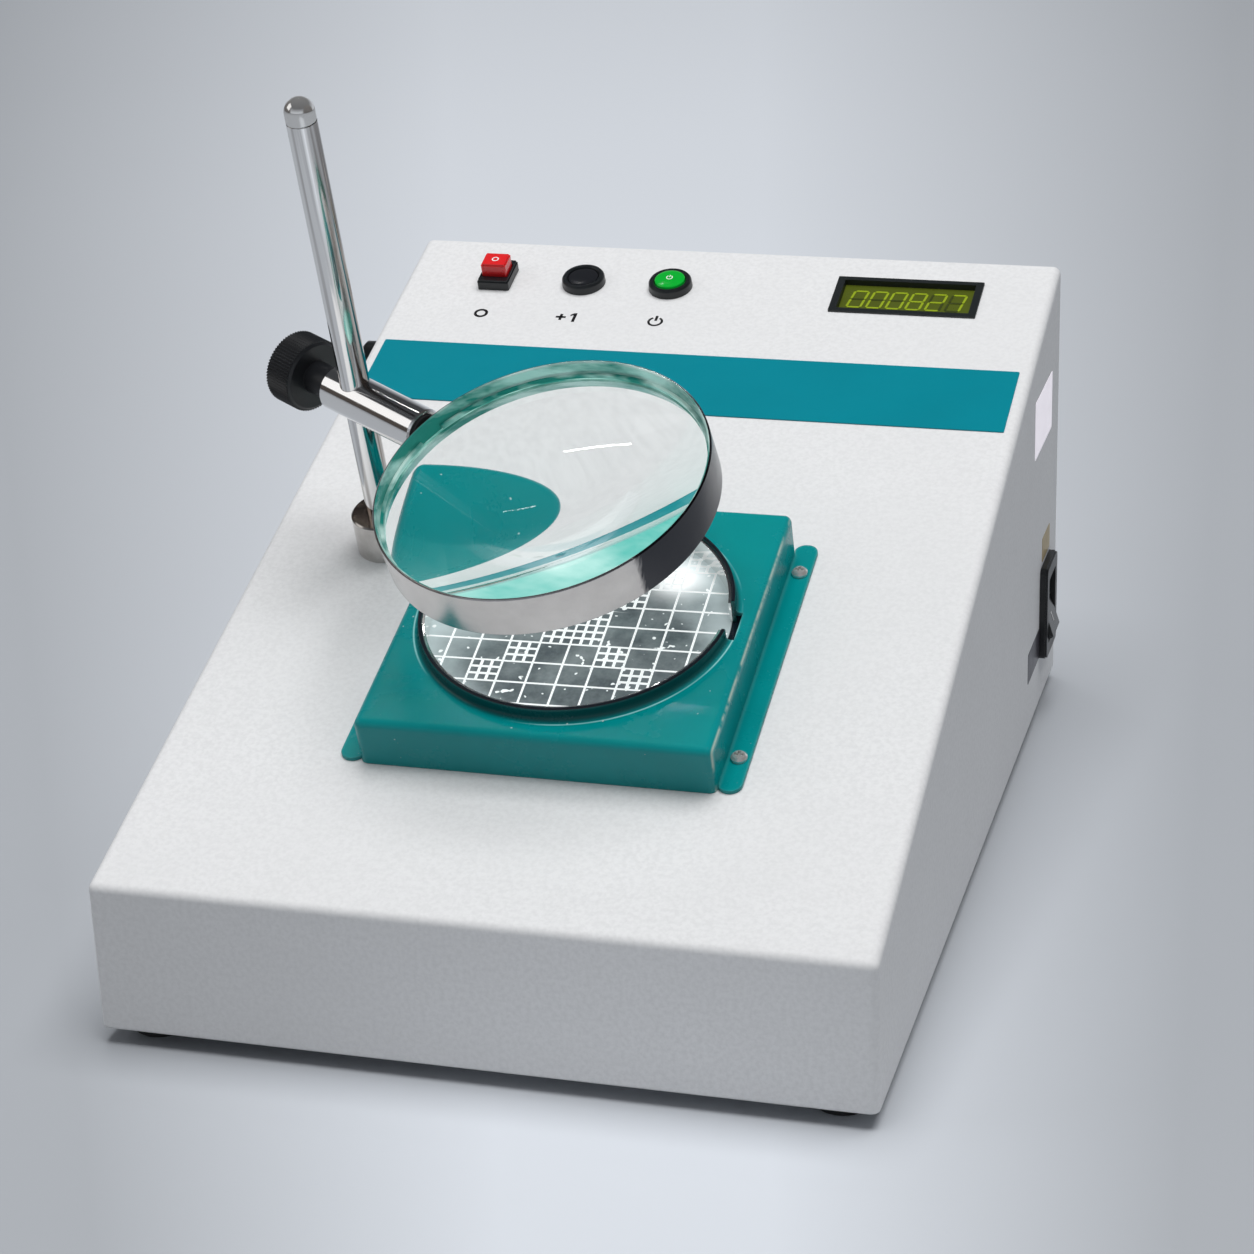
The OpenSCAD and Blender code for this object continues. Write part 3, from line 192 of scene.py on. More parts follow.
class NodeSketch:
    """Short names for the nodes that the finishes and the world share."""

    def __init__(self, owner, coordinates):
        owner.use_nodes = True
        self.tree = owner.node_tree
        self.place = self.node("ShaderNodeTexCoord").outputs[coordinates]

    def node(self, kind, **values):
        made = self.tree.nodes.new(kind)
        for key, value in values.items():
            setattr(made, key, value)
        return made

    def join(self, source, target):
        """Links an output to a socket, or sets the socket's own value."""
        if isinstance(source, bpy.types.NodeSocket):
            self.tree.links.new(source, target)
        else:
            target.default_value = source

    def noise(self, scale, detail, roughness, stretch=(1, 1, 1)):
        """Noise round a half, finer along an axis whose stretch is larger."""
        mapping = self.node("ShaderNodeMapping")
        mapping.inputs["Scale"].default_value = stretch
        self.join(self.place, mapping.inputs["Vector"])
        made = self.node("ShaderNodeTexNoise")
        for key, value in (("Scale", scale), ("Detail", detail), ("Roughness", roughness)):
            made.inputs[key].default_value = value
        self.join(mapping.outputs["Vector"], made.inputs["Vector"])
        return made.outputs["Fac"]

    def spread(self, source, low, high, out_low=0.0, out_high=1.0):
        """Maps low..high to out_low..out_high, and stays within them."""
        made = self.node("ShaderNodeMapRange")
        for key, value in (("From Min", low), ("From Max", high), ("To Min", out_low), ("To Max", out_high)):
            made.inputs[key].default_value = value
        self.join(source, made.inputs["Value"])
        return made.outputs["Result"]

    def blend(self, factor, first, second):
        made = self.node("ShaderNodeMix", data_type="RGBA")
        self.join(factor, made.inputs["Factor"])
        for socket, value in ((made.inputs[6], first), (made.inputs[7], second)):
            self.join(value if isinstance(value, bpy.types.NodeSocket) else (*value, 1.0), socket)
        return made.outputs[2]

    def vector(self, operation, first, second=None):
        made = self.node("ShaderNodeVectorMath", operation=operation)
        self.join(first, made.inputs[0])
        if second is not None:
            self.join(second, made.inputs[1])
        single = operation in ("DISTANCE", "DOT_PRODUCT", "LENGTH")
        return made.outputs["Value" if single else "Vector"]

    def distance(self, point):
        """Distance from a point, in metres."""
        return self.vector("DISTANCE", self.place, point)

    def math(self, operation, first, second):
        made = self.node("ShaderNodeMath", operation=operation)
        self.join(first, made.inputs[0])
        self.join(second, made.inputs[1])
        return made.outputs[0]

    def component(self, direction, absolute=False):
        """Place along a direction from the origin, in metres."""
        along = self.vector("DOT_PRODUCT", self.place, direction)
        return self.math("ABSOLUTE", along, 0.0) if absolute else along

    def off_axis(self, point, axis):
        """Distance from a line, in metres."""
        offset = self.vector("SUBTRACT", self.place, point)
        return self.vector("LENGTH", self.vector("CROSS_PRODUCT", offset, axis))

    def pulse(self, source, middle, half_width, peak):
        """Peak at the middle, nothing half_width away from it."""
        off = self.math("ABSOLUTE", self.math("SUBTRACT", source, middle), 0.0)
        return self.spread(off, 0.0, half_width, peak, 0.0)

    def soft_edge(self, radius_mm):
        """Normal of the shape with its edges rounded."""
        made = self.node("ShaderNodeBevel", samples=4)
        made.inputs["Radius"].default_value = radius_mm * MM
        return made.outputs["Normal"]

    def edge_mask(self, radius_mm):
        """One where the rounded normal leaves the flat one, along the bends."""
        faces = self.node("ShaderNodeNewGeometry").outputs["Normal"]
        bent = self.vector("DOT_PRODUCT", self.soft_edge(radius_mm), faces)
        return self.spread(bent, 1.0, 1.0 - 1.0 / EDGE_GAIN)

    def relief(self, height, strength, depth_mm, normal):
        made = self.node("ShaderNodeBump")
        self.join(strength, made.inputs["Strength"])
        self.join(depth_mm * MM, made.inputs["Distance"])
        self.join(height, made.inputs["Height"])
        if normal is not None:
            self.join(normal, made.inputs["Normal"])
        return made.outputs["Normal"]


class MaterialSketch(NodeSketch):
    """A new material, drawn in object coordinates."""

    def __init__(self, name):
        self.material = bpy.data.materials.new(name)
        super().__init__(self.material, "Object")
        self.shader = self.tree.nodes["Principled BSDF"]

    def feed(self, **sockets):
        """Joins values to the shader's sockets, named with underscores for spaces."""
        for key, value in sockets.items():
            self.join(value, self.shader.inputs[key.replace("_", " ")])


def shade(colour, factor):
    """A darker or lighter tone of a colour."""
    return tuple(min(1.0, channel * factor) for channel in colour)


def finish(name, colour, roughness, metallic=0.0, tone=0.05, tone_scale=25.0, gloss_spread=0.06,
           gloss_scale=60.0, grain=900.0, grain_depth=0.02, edge=0.4, wear_and_sheen=0.0, stretch=(1, 1, 1),
           **sockets):
    """A coated, moulded or metal surface: uneven tone and gloss, fine grain, soft edges."""
    sketch = MaterialSketch(name)
    patches = sketch.noise(tone_scale, 5.0, 0.6, stretch)
    tint = sketch.blend(sketch.spread(patches, 0.3, 0.7), shade(colour, 1 - tone), shade(colour, 1 + tone))
    # The bends can be painted lighter: partly wear, partly painted highlight.
    if wear_and_sheen:
        rubbed_and_sheen = sketch.edge_mask(edge * 1.6)
        tint = sketch.blend(sketch.spread(rubbed_and_sheen, 0.0, 1.0, 0.0, wear_and_sheen), tint, shade(colour, 1.0 + 2.2 * wear_and_sheen))
    sketch.feed(Base_Color=tint)
    smudge = sketch.noise(gloss_scale, 6.0, 0.65, stretch)
    low, high = max(0.0, roughness - gloss_spread), min(1.0, roughness + gloss_spread)
    sketch.feed(Roughness=sketch.spread(smudge, 0.3, 0.7, low, high))
    normal = sketch.soft_edge(edge) if edge else None
    texture = sketch.noise(grain, 3.0, 0.5, stretch)
    sketch.feed(Normal=sketch.relief(texture, 0.6, grain_depth, normal), Metallic=metallic, **sockets)
    return sketch.material


def glow(material, colour, strength):
    """Adds an even glow to a finish."""
    shader = material.node_tree.nodes["Principled BSDF"]
    shader.inputs["Emission Color"].default_value = (*colour, 1.0)
    shader.inputs["Emission Strength"].default_value = strength
    return material


def powder_coat(colour):
    """Fine pebbled powder coat with faint specks."""
    sketch = MaterialSketch("powder_coat")
    cloud = sketch.spread(sketch.noise(14.0, 4.0, 0.6), 0.3, 0.7)
    base = sketch.blend(cloud, shade(colour, 0.975), shade(colour, 1.015))
    pebble = sketch.noise(620.0, 3.0, 0.55)
    speck = sketch.spread(pebble, 0.34, 0.62)
    base = sketch.blend(speck, shade(colour, 0.925), base)
    sketch.feed(Base_Color=base)
    sketch.feed(Roughness=sketch.spread(sketch.noise(90.0, 5.0, 0.6), 0.3, 0.7, 0.44, 0.56))
    sketch.feed(Normal=sketch.relief(pebble, 0.5, 0.09, sketch.soft_edge(1.2)))
    sketch.feed(Specular_IOR_Level=0.42)
    return sketch.material


def chrome(name, roughness, tone=0.02):
    """Polished plating with faint smears."""
    return finish(name, (0.87, 0.862, 0.855), roughness, metallic=1.0, tone=tone, tone_scale=30.0,
                  gloss_spread=0.035, gloss_scale=120.0, grain=240.0, grain_depth=0.004, edge=0.25)


def streaked_reflection_plating(name, axis, roughness):
    """Plating drawn along an axis, with pale, brown and dark streaks: partly drawn grain, partly painted
    reflection.
    """
    sketch = MaterialSketch(name)
    length = sketch.node("ShaderNodeVectorMath", operation="SCALE")
    sketch.join(axis, length.inputs[0])
    sketch.join(sketch.math("MULTIPLY", sketch.component(axis), 0.985), length.inputs["Scale"])
    drawn = sketch.vector("SUBTRACT", sketch.place, length.outputs["Vector"])
    smudge = sketch.noise(90.0, 5.0, 0.6)
    soft = sketch.soft_edge(0.3)
    sketch.place = drawn
    painted_reflection_streak = sketch.noise(210.0, 3.0, 0.55)
    tint = sketch.blend(sketch.spread(painted_reflection_streak, 0.42, 0.56), (0.26, 0.235, 0.22), (0.90, 0.895, 0.89))
    sketch.feed(Base_Color=tint)
    sketch.feed(Roughness=sketch.spread(smudge, 0.3, 0.7, roughness, roughness + 0.05))
    sketch.feed(Normal=sketch.relief(painted_reflection_streak, 0.4, 0.01, soft), Metallic=1.0)
    return sketch.material


def clear_glass(name, tint, painted_edge_glow):
    """Clear glass with faint smears, and a painted reflection inside its edge: a glow in the colour given,
    mixed with white streaks, where light would be caught.
    """
    sketch = MaterialSketch(name)
    veil = sketch.spread(sketch.noise(45.0, 6.0, 0.7), 0.35, 0.75)
    sketch.feed(Base_Color=sketch.blend(veil, tint, shade(tint, 0.985)))
    smear = sketch.spread(sketch.noise(220.0, 4.0, 0.6), 0.45, 0.8, 0.0, 0.012)
    sketch.feed(Roughness=smear, Transmission_Weight=1.0, IOR=GLASS_IOR, Specular_Tint=(0.4, 0.4, 0.4, 1.0))
    # Painted reflection: where the glass is seen from inside near its edge, it glows with mint and white
    # streaks.
    fresnel = sketch.node("ShaderNodeFresnel")
    sketch.join(GLASS_IOR, fresnel.inputs["IOR"])
    inside = sketch.node("ShaderNodeNewGeometry").outputs["Backfacing"]
    painted_glow_mask = sketch.math("MULTIPLY", sketch.spread(fresnel.outputs[0], 0.6, 1.0), inside)
    painted_reflection_streak = sketch.spread(sketch.noise(34.0, 4.0, 0.6, (0.5, 1.0, 3.0)), 0.46, 0.70)
    mint = sketch.blend(painted_reflection_streak, painted_edge_glow, (0.70, 0.88, 0.84))
    sketch.feed(Emission_Color=sketch.blend(painted_glow_mask, BLACK, mint), Emission_Strength=0.30)
    return sketch.material


def dress(material, *nodes):
    """Gives CAD nodes a material."""
    for name in nodes:
        mesh = frame["nodes"][name].data
        mesh.materials.clear()
        mesh.materials.append(material)


# ------------------------------------------------------------------ meshes

def add_piece(name, bm, matrix, material, body, smooth=True):
    """Turns millimetre geometry into a piece that rides on a body."""
    bmesh.ops.recalc_face_normals(bm, faces=bm.faces)
    mesh = bpy.data.meshes.new(name)
    bm.to_mesh(mesh)
    bm.free()
    mesh.transform(matrix)
    mesh.materials.append(material)
    piece = bpy.data.objects.new(name, mesh)
    bpy.context.scene.collection.objects.link(piece)
    if smooth:
        mesh.shade_smooth()
        mesh.set_sharp_from_angle(angle=math.radians(35))
    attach(piece, body)
    return piece


def add_flat(name, bm, matrix, material, body="root"):
    """A printed mark or a plate, with sharp edges."""
    return add_piece(name, bm, matrix, material, body, smooth=False)


def sweep_ring(bm, profile, start, end):
    """Part of a ring: turns a closed (radius, height) outline from start to end degrees."""
    sections, steps = [], 120
    for i in range(steps + 1):
        angle = math.radians(start + (end - start) * i / steps)
        sections.append([bm.verts.new((r * math.cos(angle), r * math.sin(angle), z)) for r, z in profile])
    count = len(profile)
    for first, second in zip(sections, sections[1:]):
        for i in range(count):
            j = (i + 1) % count
            bm.faces.new((first[i], first[j], second[j], second[i]))
    bm.faces.new(sections[0][::-1])
    bm.faces.new(sections[-1])


def revolve(bm, profile, steps):
    """Turns (radius, height) points about z; points on the axis become poles."""
    rings = []
    for radius, height in profile:
        if radius < 1e-6:
            rings.append([bm.verts.new((0, 0, height))])
        else:
            rings.append([
                bm.verts.new((radius * math.cos(2 * math.pi * i / steps),
                              radius * math.sin(2 * math.pi * i / steps), height))
                for i in range(steps)])
    for first, second in zip(rings, rings[1:]):
        for i in range(steps):
            j = (i + 1) % steps
            corners = [first[i % len(first)], first[j % len(first)],
                       second[j % len(second)], second[i % len(second)]]
            unique = list(dict.fromkeys(corners))
            if len(unique) > 2:
                bm.faces.new(unique)


def prism(bm, outline, low, high):
    """Upright prism over a flat outline."""
    base = [bm.verts.new((x, y, low)) for x, y in outline]
    top = [bm.verts.new((x, y, high)) for x, y in outline]
    bm.faces.new(base[::-1])
    bm.faces.new(top)
    count = len(outline)
    for i in range(count):
        j = (i + 1) % count
        bm.faces.new((base[i], base[j], top[j], top[i]))


def bar(bm, x0, y0, x1, y1, low, high):
    prism(bm, [(x0, y0), (x1, y0), (x1, y1), (x0, y1)], low, high)


def arc(radius, start, end, steps, centre=(0, 0)):
    angles = [math.radians(start + (end - start) * i / steps) for i in range(steps + 1)]
    return [(centre[0] + radius * math.cos(angle), centre[1] + radius * math.sin(angle)) for angle in angles]


def band(bm, radius, width, start, end, low, high):
    """Flat ring, or part of one."""
    steps = 32
    outer = arc(radius + width / 2, start, end, steps)
    inner = arc(radius - width / 2, start, end, steps)
    for i in range(steps):
        prism(bm, [inner[i], outer[i], outer[i + 1], inner[i + 1]], low, high)


def rounded(width, length, radius):
    """Outline of a rectangle with round corners."""
    x, y = width / 2 - radius, length / 2 - radius
    points = []
    for cx, cy, start in ((x, y, 0), (-x, y, 90), (-x, -y, 180), (x, -y, 270)):
        points += arc(radius, start, start + 90, 8, (cx, cy))
    return points


# ------------------------------------------------------------------ pieces

class COUNTER_OT_camera(bpy.types.Operator):
    """Sets up the camera"""

    bl_idname = "counter.camera"
    bl_label = "Camera"

    def execute(self, context):
        azimuth, elevation = math.radians(16.304), math.radians(22.340)
        roll = math.radians(-2.041)
        focal_px, image_px, sensor = 3182.2, 1254.0, 36.0
        place = Vector((412.257, -801.119, 493.694)) * MM
        back = Vector((math.sin(azimuth) * math.cos(elevation),
                       -math.cos(azimuth) * math.cos(elevation), math.sin(elevation)))
        right = Vector((math.cos(azimuth), math.sin(azimuth), 0))
        up = back.cross(right)
        right_rolled = right * math.cos(roll) + up * math.sin(roll)
        up_rolled = up * math.cos(roll) - right * math.sin(roll)
        data = bpy.data.cameras.new("camera")
        data.sensor_width = sensor
        data.lens = sensor * focal_px / image_px
        data.clip_start = 0.01
        camera = bpy.data.objects.new("camera", data)
        camera.matrix_world = Matrix.Translation(CORNER + place) @ Matrix(
            (right_rolled, up_rolled, back)).transposed().to_4x4()
        context.scene.collection.objects.link(camera)
        context.scene.camera = camera
        return {"FINISHED"}


class COUNTER_OT_studio(bpy.types.Operator):
    """Makes the floor, the lights and the even fill"""

    bl_idname = "counter.studio"
    bl_label = "Studio"

    def execute(self, context):
        settings = context.scene.counter_studio
        context.scene.view_settings.view_transform = "Standard"
        self.add_floor(context, settings)
        self.add_lights(context, settings)
        self.add_fill(context, settings)
        return {"FINISHED"}

    def add_floor(self, context, settings):
        bm = bmesh.new()
        bmesh.ops.create_grid(bm, x_segments=8, y_segments=8, size=6.0)
        mesh = bpy.data.meshes.new("floor")
        bm.to_mesh(mesh)
        bm.free()
        floor = bpy.data.objects.new("floor", mesh)
        context.scene.collection.objects.link(floor)
        sketch = MaterialSketch("floor_paper")
        colour = tuple(settings.floor)
        # Painted light: the floor is painted pale in a middle that widens away from the front and starts
        # close before the counter, and painted darker at the flanks as shade.
        sideways, forward = (0.960, 0.281, 0.0), (-0.281, 0.960, 0.0)
        aside = sketch.component(sideways, absolute=True)
        ahead = sketch.component(forward)
        share = sketch.math("DIVIDE", aside, sketch.spread(ahead, -0.6, 2.1, 0.42, 3.12))
        before = sketch.spread(ahead, -0.85, -0.32, 1.0, 0.0)
        painted_shade_flank = sketch.math("MAXIMUM", sketch.spread(share, 0.05, 0.20), before)
        painted_light_pool = sketch.blend(painted_shade_flank, colour, shade(colour, 0.60))
        cloud = sketch.spread(sketch.noise(1.3, 2.0, 0.5), 0.3, 0.7)
        fibre = sketch.node("ShaderNodeMix", data_type="RGBA", blend_type="MULTIPLY")
        sketch.join(1.0, fibre.inputs["Factor"])
        sketch.join(painted_light_pool, fibre.inputs[6])
        sketch.join(sketch.blend(cloud, (0.975, 0.975, 0.975), (1.0, 1.0, 1.0)), fibre.inputs[7])
        sketch.feed(Base_Color=fibre.outputs[2])
        sketch.feed(Roughness=0.85, Specular_IOR_Level=0.2)
        mesh.materials.append(sketch.material)

    def add_lights(self, context, settings):
        target = Vector((0, 0, 0.08))
        lamps = (
            ("overhead_light", (0.45, -0.12, 4.5), (1, 0, 0), (3.4, 3.4), settings.key_power),
            ("tube_light", (-0.52, 0.694, 1.454), (0.13, 0.017, 0.044), (0.22, 0.012), settings.tube_power),
            ("left_card", (-1.93, -0.52, 1.26), (0, 1, 0), (1.3, 1.1), settings.card_power),
        )
        for name, place, side, size, power in lamps:
            data = bpy.data.lights.new(name, "AREA")
            data.shape = "RECTANGLE"
            data.size, data.size_y = size
            data.energy = power
            lamp = bpy.data.objects.new(name, data)
            back = (Vector(place) - target).normalized()
            up = back.cross(Vector(side)).normalized()
            turn = Matrix((up.cross(back), up, back)).transposed().to_4x4()
            lamp.matrix_world = Matrix.Translation(place) @ turn
            # The key would stand as a hard square in the lens and the plating.
            if name == "overhead_light":
                lamp.visible_glossy = lamp.visible_transmission = False
            context.scene.collection.objects.link(lamp)

    def add_fill(self, context, settings):
        """Even fill for matt faces; a backdrop for mirrors, the glass and the camera."""
        world = bpy.data.worlds.new("studio_air")
        context.scene.world = world
        air = NodeSketch(world, "Generated")
        fill, seen = air.tree.nodes["Background"], air.node("ShaderNodeBackground")
        air.join((0.93, 0.96, 1.0, 1.0), fill.inputs["Color"])
        air.join(settings.sky, fill.inputs["Strength"])
        # The backdrop is pale at the horizon and dark high up, with dark flags at both sides.
        rise = air.spread(air.component((0, 0, 1)), 0.05, 0.55)
        backdrop = air.blend(rise, (0.60, 0.63, 0.68), (0.05, 0.053, 0.058))
        flag = air.spread(air.component((1, 0, 0), absolute=True), 0.66, 0.80)
        air.join(air.blend(flag, backdrop, (0.07, 0.06, 0.055)), seen.inputs["Color"])
        path = air.node("ShaderNodeLightPath").outputs
        direct = air.math("MAXIMUM", path["Is Camera Ray"], path["Is Glossy Ray"])
        mix = air.node("ShaderNodeMixShader")
        air.join(air.math("MAXIMUM", direct, path["Is Transmission Ray"]), mix.inputs["Fac"])
        air.join(fill.outputs[0], mix.inputs[1])
        air.join(seen.outputs[0], mix.inputs[2])
        air.join(mix.outputs[0], air.tree.nodes["World Output"].inputs["Surface"])


class COUNTER_OT_housing(bpy.types.Operator):
    """Coats the housing, the base plate, the feet and the strip"""

    bl_idname = "counter.housing"
    bl_label = "Housing"

    def execute(self, context):
        colours = context.scene.counter_finish
        dress(powder_coat(tuple(colours.housing)), "housing")
        dress(finish("zinc_plate", (0.55, 0.56, 0.57), 0.42, metallic=1.0, tone=0.12, tone_scale=60.0,
                     gloss_spread=0.1), "base_plate")
        dress(finish("foot_rubber", (0.018, 0.018, 0.019), 0.7, tone=0.2, grain=700.0,
                     grain_depth=0.05), "feet", "friction_washer")
        dress(finish("strip_film", tuple(colours.strip), 0.42, tone=0.03, tone_scale=35.0,
                     grain=520.0, grain_depth=0.02, edge=0.15, Specular_IOR_Level=0.2), "graphic_strip")
        return {"FINISHED"}


class COUNTER_OT_stage_cover(bpy.types.Operator):
    """Coats the stage cover and adds a dark band along its rim's top"""

    bl_idname = "counter.stage_cover"
    bl_label = "Stage cover"

    def execute(self, context):
        colours = context.scene.counter_finish
        dress(self.enamel(tuple(colours.stage)), "stage_cover")
        dress(chrome("liner_chrome", 0.1, 0.1), "dish_ring")
        # A near-black band along the rim's top edge.
        dark_band = finish("rim_dark_finish", (0.006, 0.008, 0.014), 0.4, tone=0.2, edge=0.0)
        middle, half_width, height = (RIM_INNER + RIM_OUTER) / 2, 0.62, 0.35
        outline = [(middle + half_width * math.cos(angle), height * math.sin(angle))
                   for angle in (math.radians(30 * i) for i in range(7))]
        bm = bmesh.new()
        sweep_ring(bm, outline, NOTCH_HALF_ANGLE, 360 - NOTCH_HALF_ANGLE)
        add_piece("rim_dark_band", bm, on_panel(*STAGE_UV, RIM_TOP + 0.01), dark_band, "root")
        return {"FINISHED"}

    def enamel(self, colour):
        """Glossy enamel, with painted shade down the rim and a painted highlight round its foot, and lighter
        along its bends, partly from wear and partly as a painted highlight.
        """
        sketch = MaterialSketch("stage_enamel")
        cloud = sketch.spread(sketch.noise(18.0, 5.0, 0.6), 0.3, 0.7)
        coat = sketch.blend(cloud, shade(colour, 0.90), shade(colour, 1.12))
        middle = on_panel(*STAGE_UV, (RIM_TOP + RIM_FOOT) / 2).translation
        # Painted shade: the rim's wall is painted a dark tone of the teal.
        rim_wall, past_rim, foot_at = 0.0521, 0.0536, 0.0539
        off_rim = sketch.spread(sketch.distance(middle), rim_wall, past_rim)
        coat = sketch.blend(off_rim, shade(colour, 0.30), coat)
        # Painted highlight: a thin pale line round the rim's foot.
        painted_foot_highlight = sketch.math("MULTIPLY", sketch.pulse(sketch.distance(middle), foot_at, 0.0004, 0.8),
                                sketch.spread(sketch.noise(22.0, 2.0, 0.5), 0.40, 0.56))
        coat = sketch.blend(painted_foot_highlight, coat, (0.45, 0.88, 0.86))
        # The bends are painted lighter teal: partly wear, partly painted highlight.
        rubbed_and_sheen = sketch.spread(sketch.edge_mask(1.4), 0.0, 1.0, 0.0, 0.30)
        coat = sketch.blend(rubbed_and_sheen, coat, (0.16, 0.52, 0.50))
        specks = sketch.spread(sketch.noise(420.0, 1.0, 0.4), 0.785, 0.80, 0.0, 0.7)
        coat = sketch.blend(specks, coat, (0.62, 0.72, 0.70))
        # The right top bend is rubbed bare.
        bend_at = on_panel(WORN_BEND_U, 0.0).translation.x
        bare = sketch.pulse(sketch.component(tuple(ACROSS)), bend_at, 0.0004, 0.8)
        patchy = sketch.spread(sketch.noise(120.0, 3.0, 0.6, (0.2, 1.0, 1.0)), 0.40, 0.55)
        coat = sketch.blend(sketch.math("MULTIPLY", bare, patchy), coat, (0.55, 0.62, 0.52))
        sketch.feed(Base_Color=coat)
        sketch.feed(Roughness=sketch.spread(sketch.noise(45.0, 6.0, 0.65), 0.3, 0.7, 0.20, 0.32))
        ripple = sketch.noise(300.0, 3.0, 0.5)
        sketch.feed(Normal=sketch.relief(ripple, 0.6, 0.012, sketch.soft_edge(0.9)))
        sketch.feed(Specular_IOR_Level=0.3)
        return sketch.material


class COUNTER_OT_counting_grid(bpy.types.Operator):
    """Makes the gridded glass with its painted lit field, and the ring lamp"""

    bl_idname = "counter.counting_grid"
    bl_label = "Counting grid"

    def execute(self, context):
        sizes = context.scene.counter_detail
        lamp = context.scene.counter_studio.lamp
        dress(self.plate_material(lamp), "grid_glass")
        dress(glow(finish("lamp_opal", (0.9, 0.9, 0.88), 0.4, edge=0.0), (1.0, 0.99, 0.97), 1.5), "ring_lamp")
        dress(finish("pan_enamel", (0.82, 0.82, 0.81), 0.35, tone=0.04), "light_pan", "glass_seat")
        dress(finish("screen_paint", (0.05, 0.058, 0.06), 0.6, tone=0.2), "dark_screen")
        self.add_lines(sizes)
        return {"FINISHED"}

    def plate_material(self, lamp):
        """Smoked glass over the dark screen, with painted light lit from its edge, a painted glare, painted
        shade beyond its seen edge and a glow, with rubbed marks.
        """
        sketch = MaterialSketch("counting_glass")
        middle = on_panel(*STAGE_UV, GLASS_TOP).translation
        cloud = sketch.spread(sketch.noise(60.0, 6.0, 0.68), 0.36, 0.68)
        field = sketch.blend(cloud, (0.060, 0.075, 0.082), (0.17, 0.20, 0.205))
        haze = sketch.noise(38.0, 3.0, 0.55)
        dark_middle = on_panel(*DARK_UV, GLASS_TOP).translation
        # Painted light: the lamp's light is painted round the edge of the dark field, with a ragged end.
        ragged = sketch.math("ADD", sketch.math("MULTIPLY", haze, 0.024), sketch.distance(dark_middle))
        edge_light = sketch.spread(ragged, 0.046, 0.072)
        lit = sketch.blend(edge_light, field, (0.53, 0.62, 0.63))
        marks = sketch.spread(sketch.noise(330.0, 1.5, 0.45), 0.685, 0.71)
        smears = sketch.spread(sketch.noise(520.0, 2.0, 0.5, (0.10, 1.0, 1.0)), 0.70, 0.76, 0.0, 0.6)
        lit = sketch.blend(sketch.math("MAXIMUM", marks, smears), lit, (0.74, 0.78, 0.78))
        # Painted glare: the lamp's glare is painted on the glass, with a small bright core.
        away = sketch.distance(on_panel(*GLARE_UV, GLASS_TOP).translation)
        glare = sketch.math("POWER", sketch.spread(away, 0.001, 0.017, 1.0, 0.0), 2.2)
        lit = sketch.blend(glare, lit, (1.0, 1.0, 1.0))
        # Painted shade: beyond its seen edge, under the rim, the glass is painted near black.
        seen_edge, dark_edge = 0.0500, 0.0503
        masked = sketch.spread(sketch.distance(middle), seen_edge, dark_edge)
        lit = sketch.blend(masked, lit, (0.004, 0.008, 0.012))
        # The glass glows with its painted colour.
        sketch.feed(Base_Color=lit, Emission_Color=lit)
        sketch.feed(Emission_Strength=sketch.spread(glare, 0.0, 1.0, lamp, 1.0))
        sketch.feed(Roughness=sketch.spread(haze, 0.3, 0.7, 0.10, 0.2))
        sketch.feed(Coat_Weight=0.28, Coat_Roughness=0.04, Specular_IOR_Level=0.1)
        return sketch.material

    def add_lines(self, sizes):
        # Painted light: the white lines glow, as they would catch the lamp's light.
        ink = glow(finish("grid_ink", (0.86, 0.88, 0.88), 0.5, tone=0.06, edge=0.0), (0.95, 1.0, 1.0), 0.22)
        bm = bmesh.new()
        limit, square, line = LINER_INNER - 0.1, sizes.square, sizes.line
        low, high = 0.0, 0.06
        count = int(limit // square)
        turn = math.radians(GRID_TURN)
        shift = Vector((STAGE_UV[0] - GRID_UV[0], STAGE_UV[1] - GRID_UV[1]))
        middle = (shift.x * math.cos(turn) + shift.y * math.sin(turn),
                  shift.y * math.cos(turn) - shift.x * math.sin(turn))

        def stroke(across, place, start, end, width):
            """One line at place, cut off at the plate's seen edge."""
            along, aside = middle if across else middle[::-1]
            reach = limit * limit - (place - aside) ** 2
            half = math.sqrt(reach) if reach > 0 else 0.0
            start, end = max(start, along - half), min(end, along + half)
            if end - start < 0.5:
                return
            if across:
                bar(bm, start, place - width / 2, end, place + width / 2, low, high)
            else:
                bar(bm, place - width / 2, start, place + width / 2, end, low, high)

        for across in (True, False):
            for i in range(-count, count + 1):
                stroke(across, i * square, -limit - square, limit + square, line)
        third = square / 3
        for cell in range(-count, count):
            for x, y in ((cell, cell), (cell, -cell - 1)):
                for step in (third, 2 * third):
                    for across in (True, False):
                        place = (y if across else x) * square + step
                        start = (x if across else y) * square
                        stroke(across, place, start, start + square, line * 1.35)
        at = on_panel(*GRID_UV, GLASS_TOP + 0.02) @ Matrix.Rotation(turn, 4, "Z")
        add_flat("counting_grid", bm, at, ink, "root")


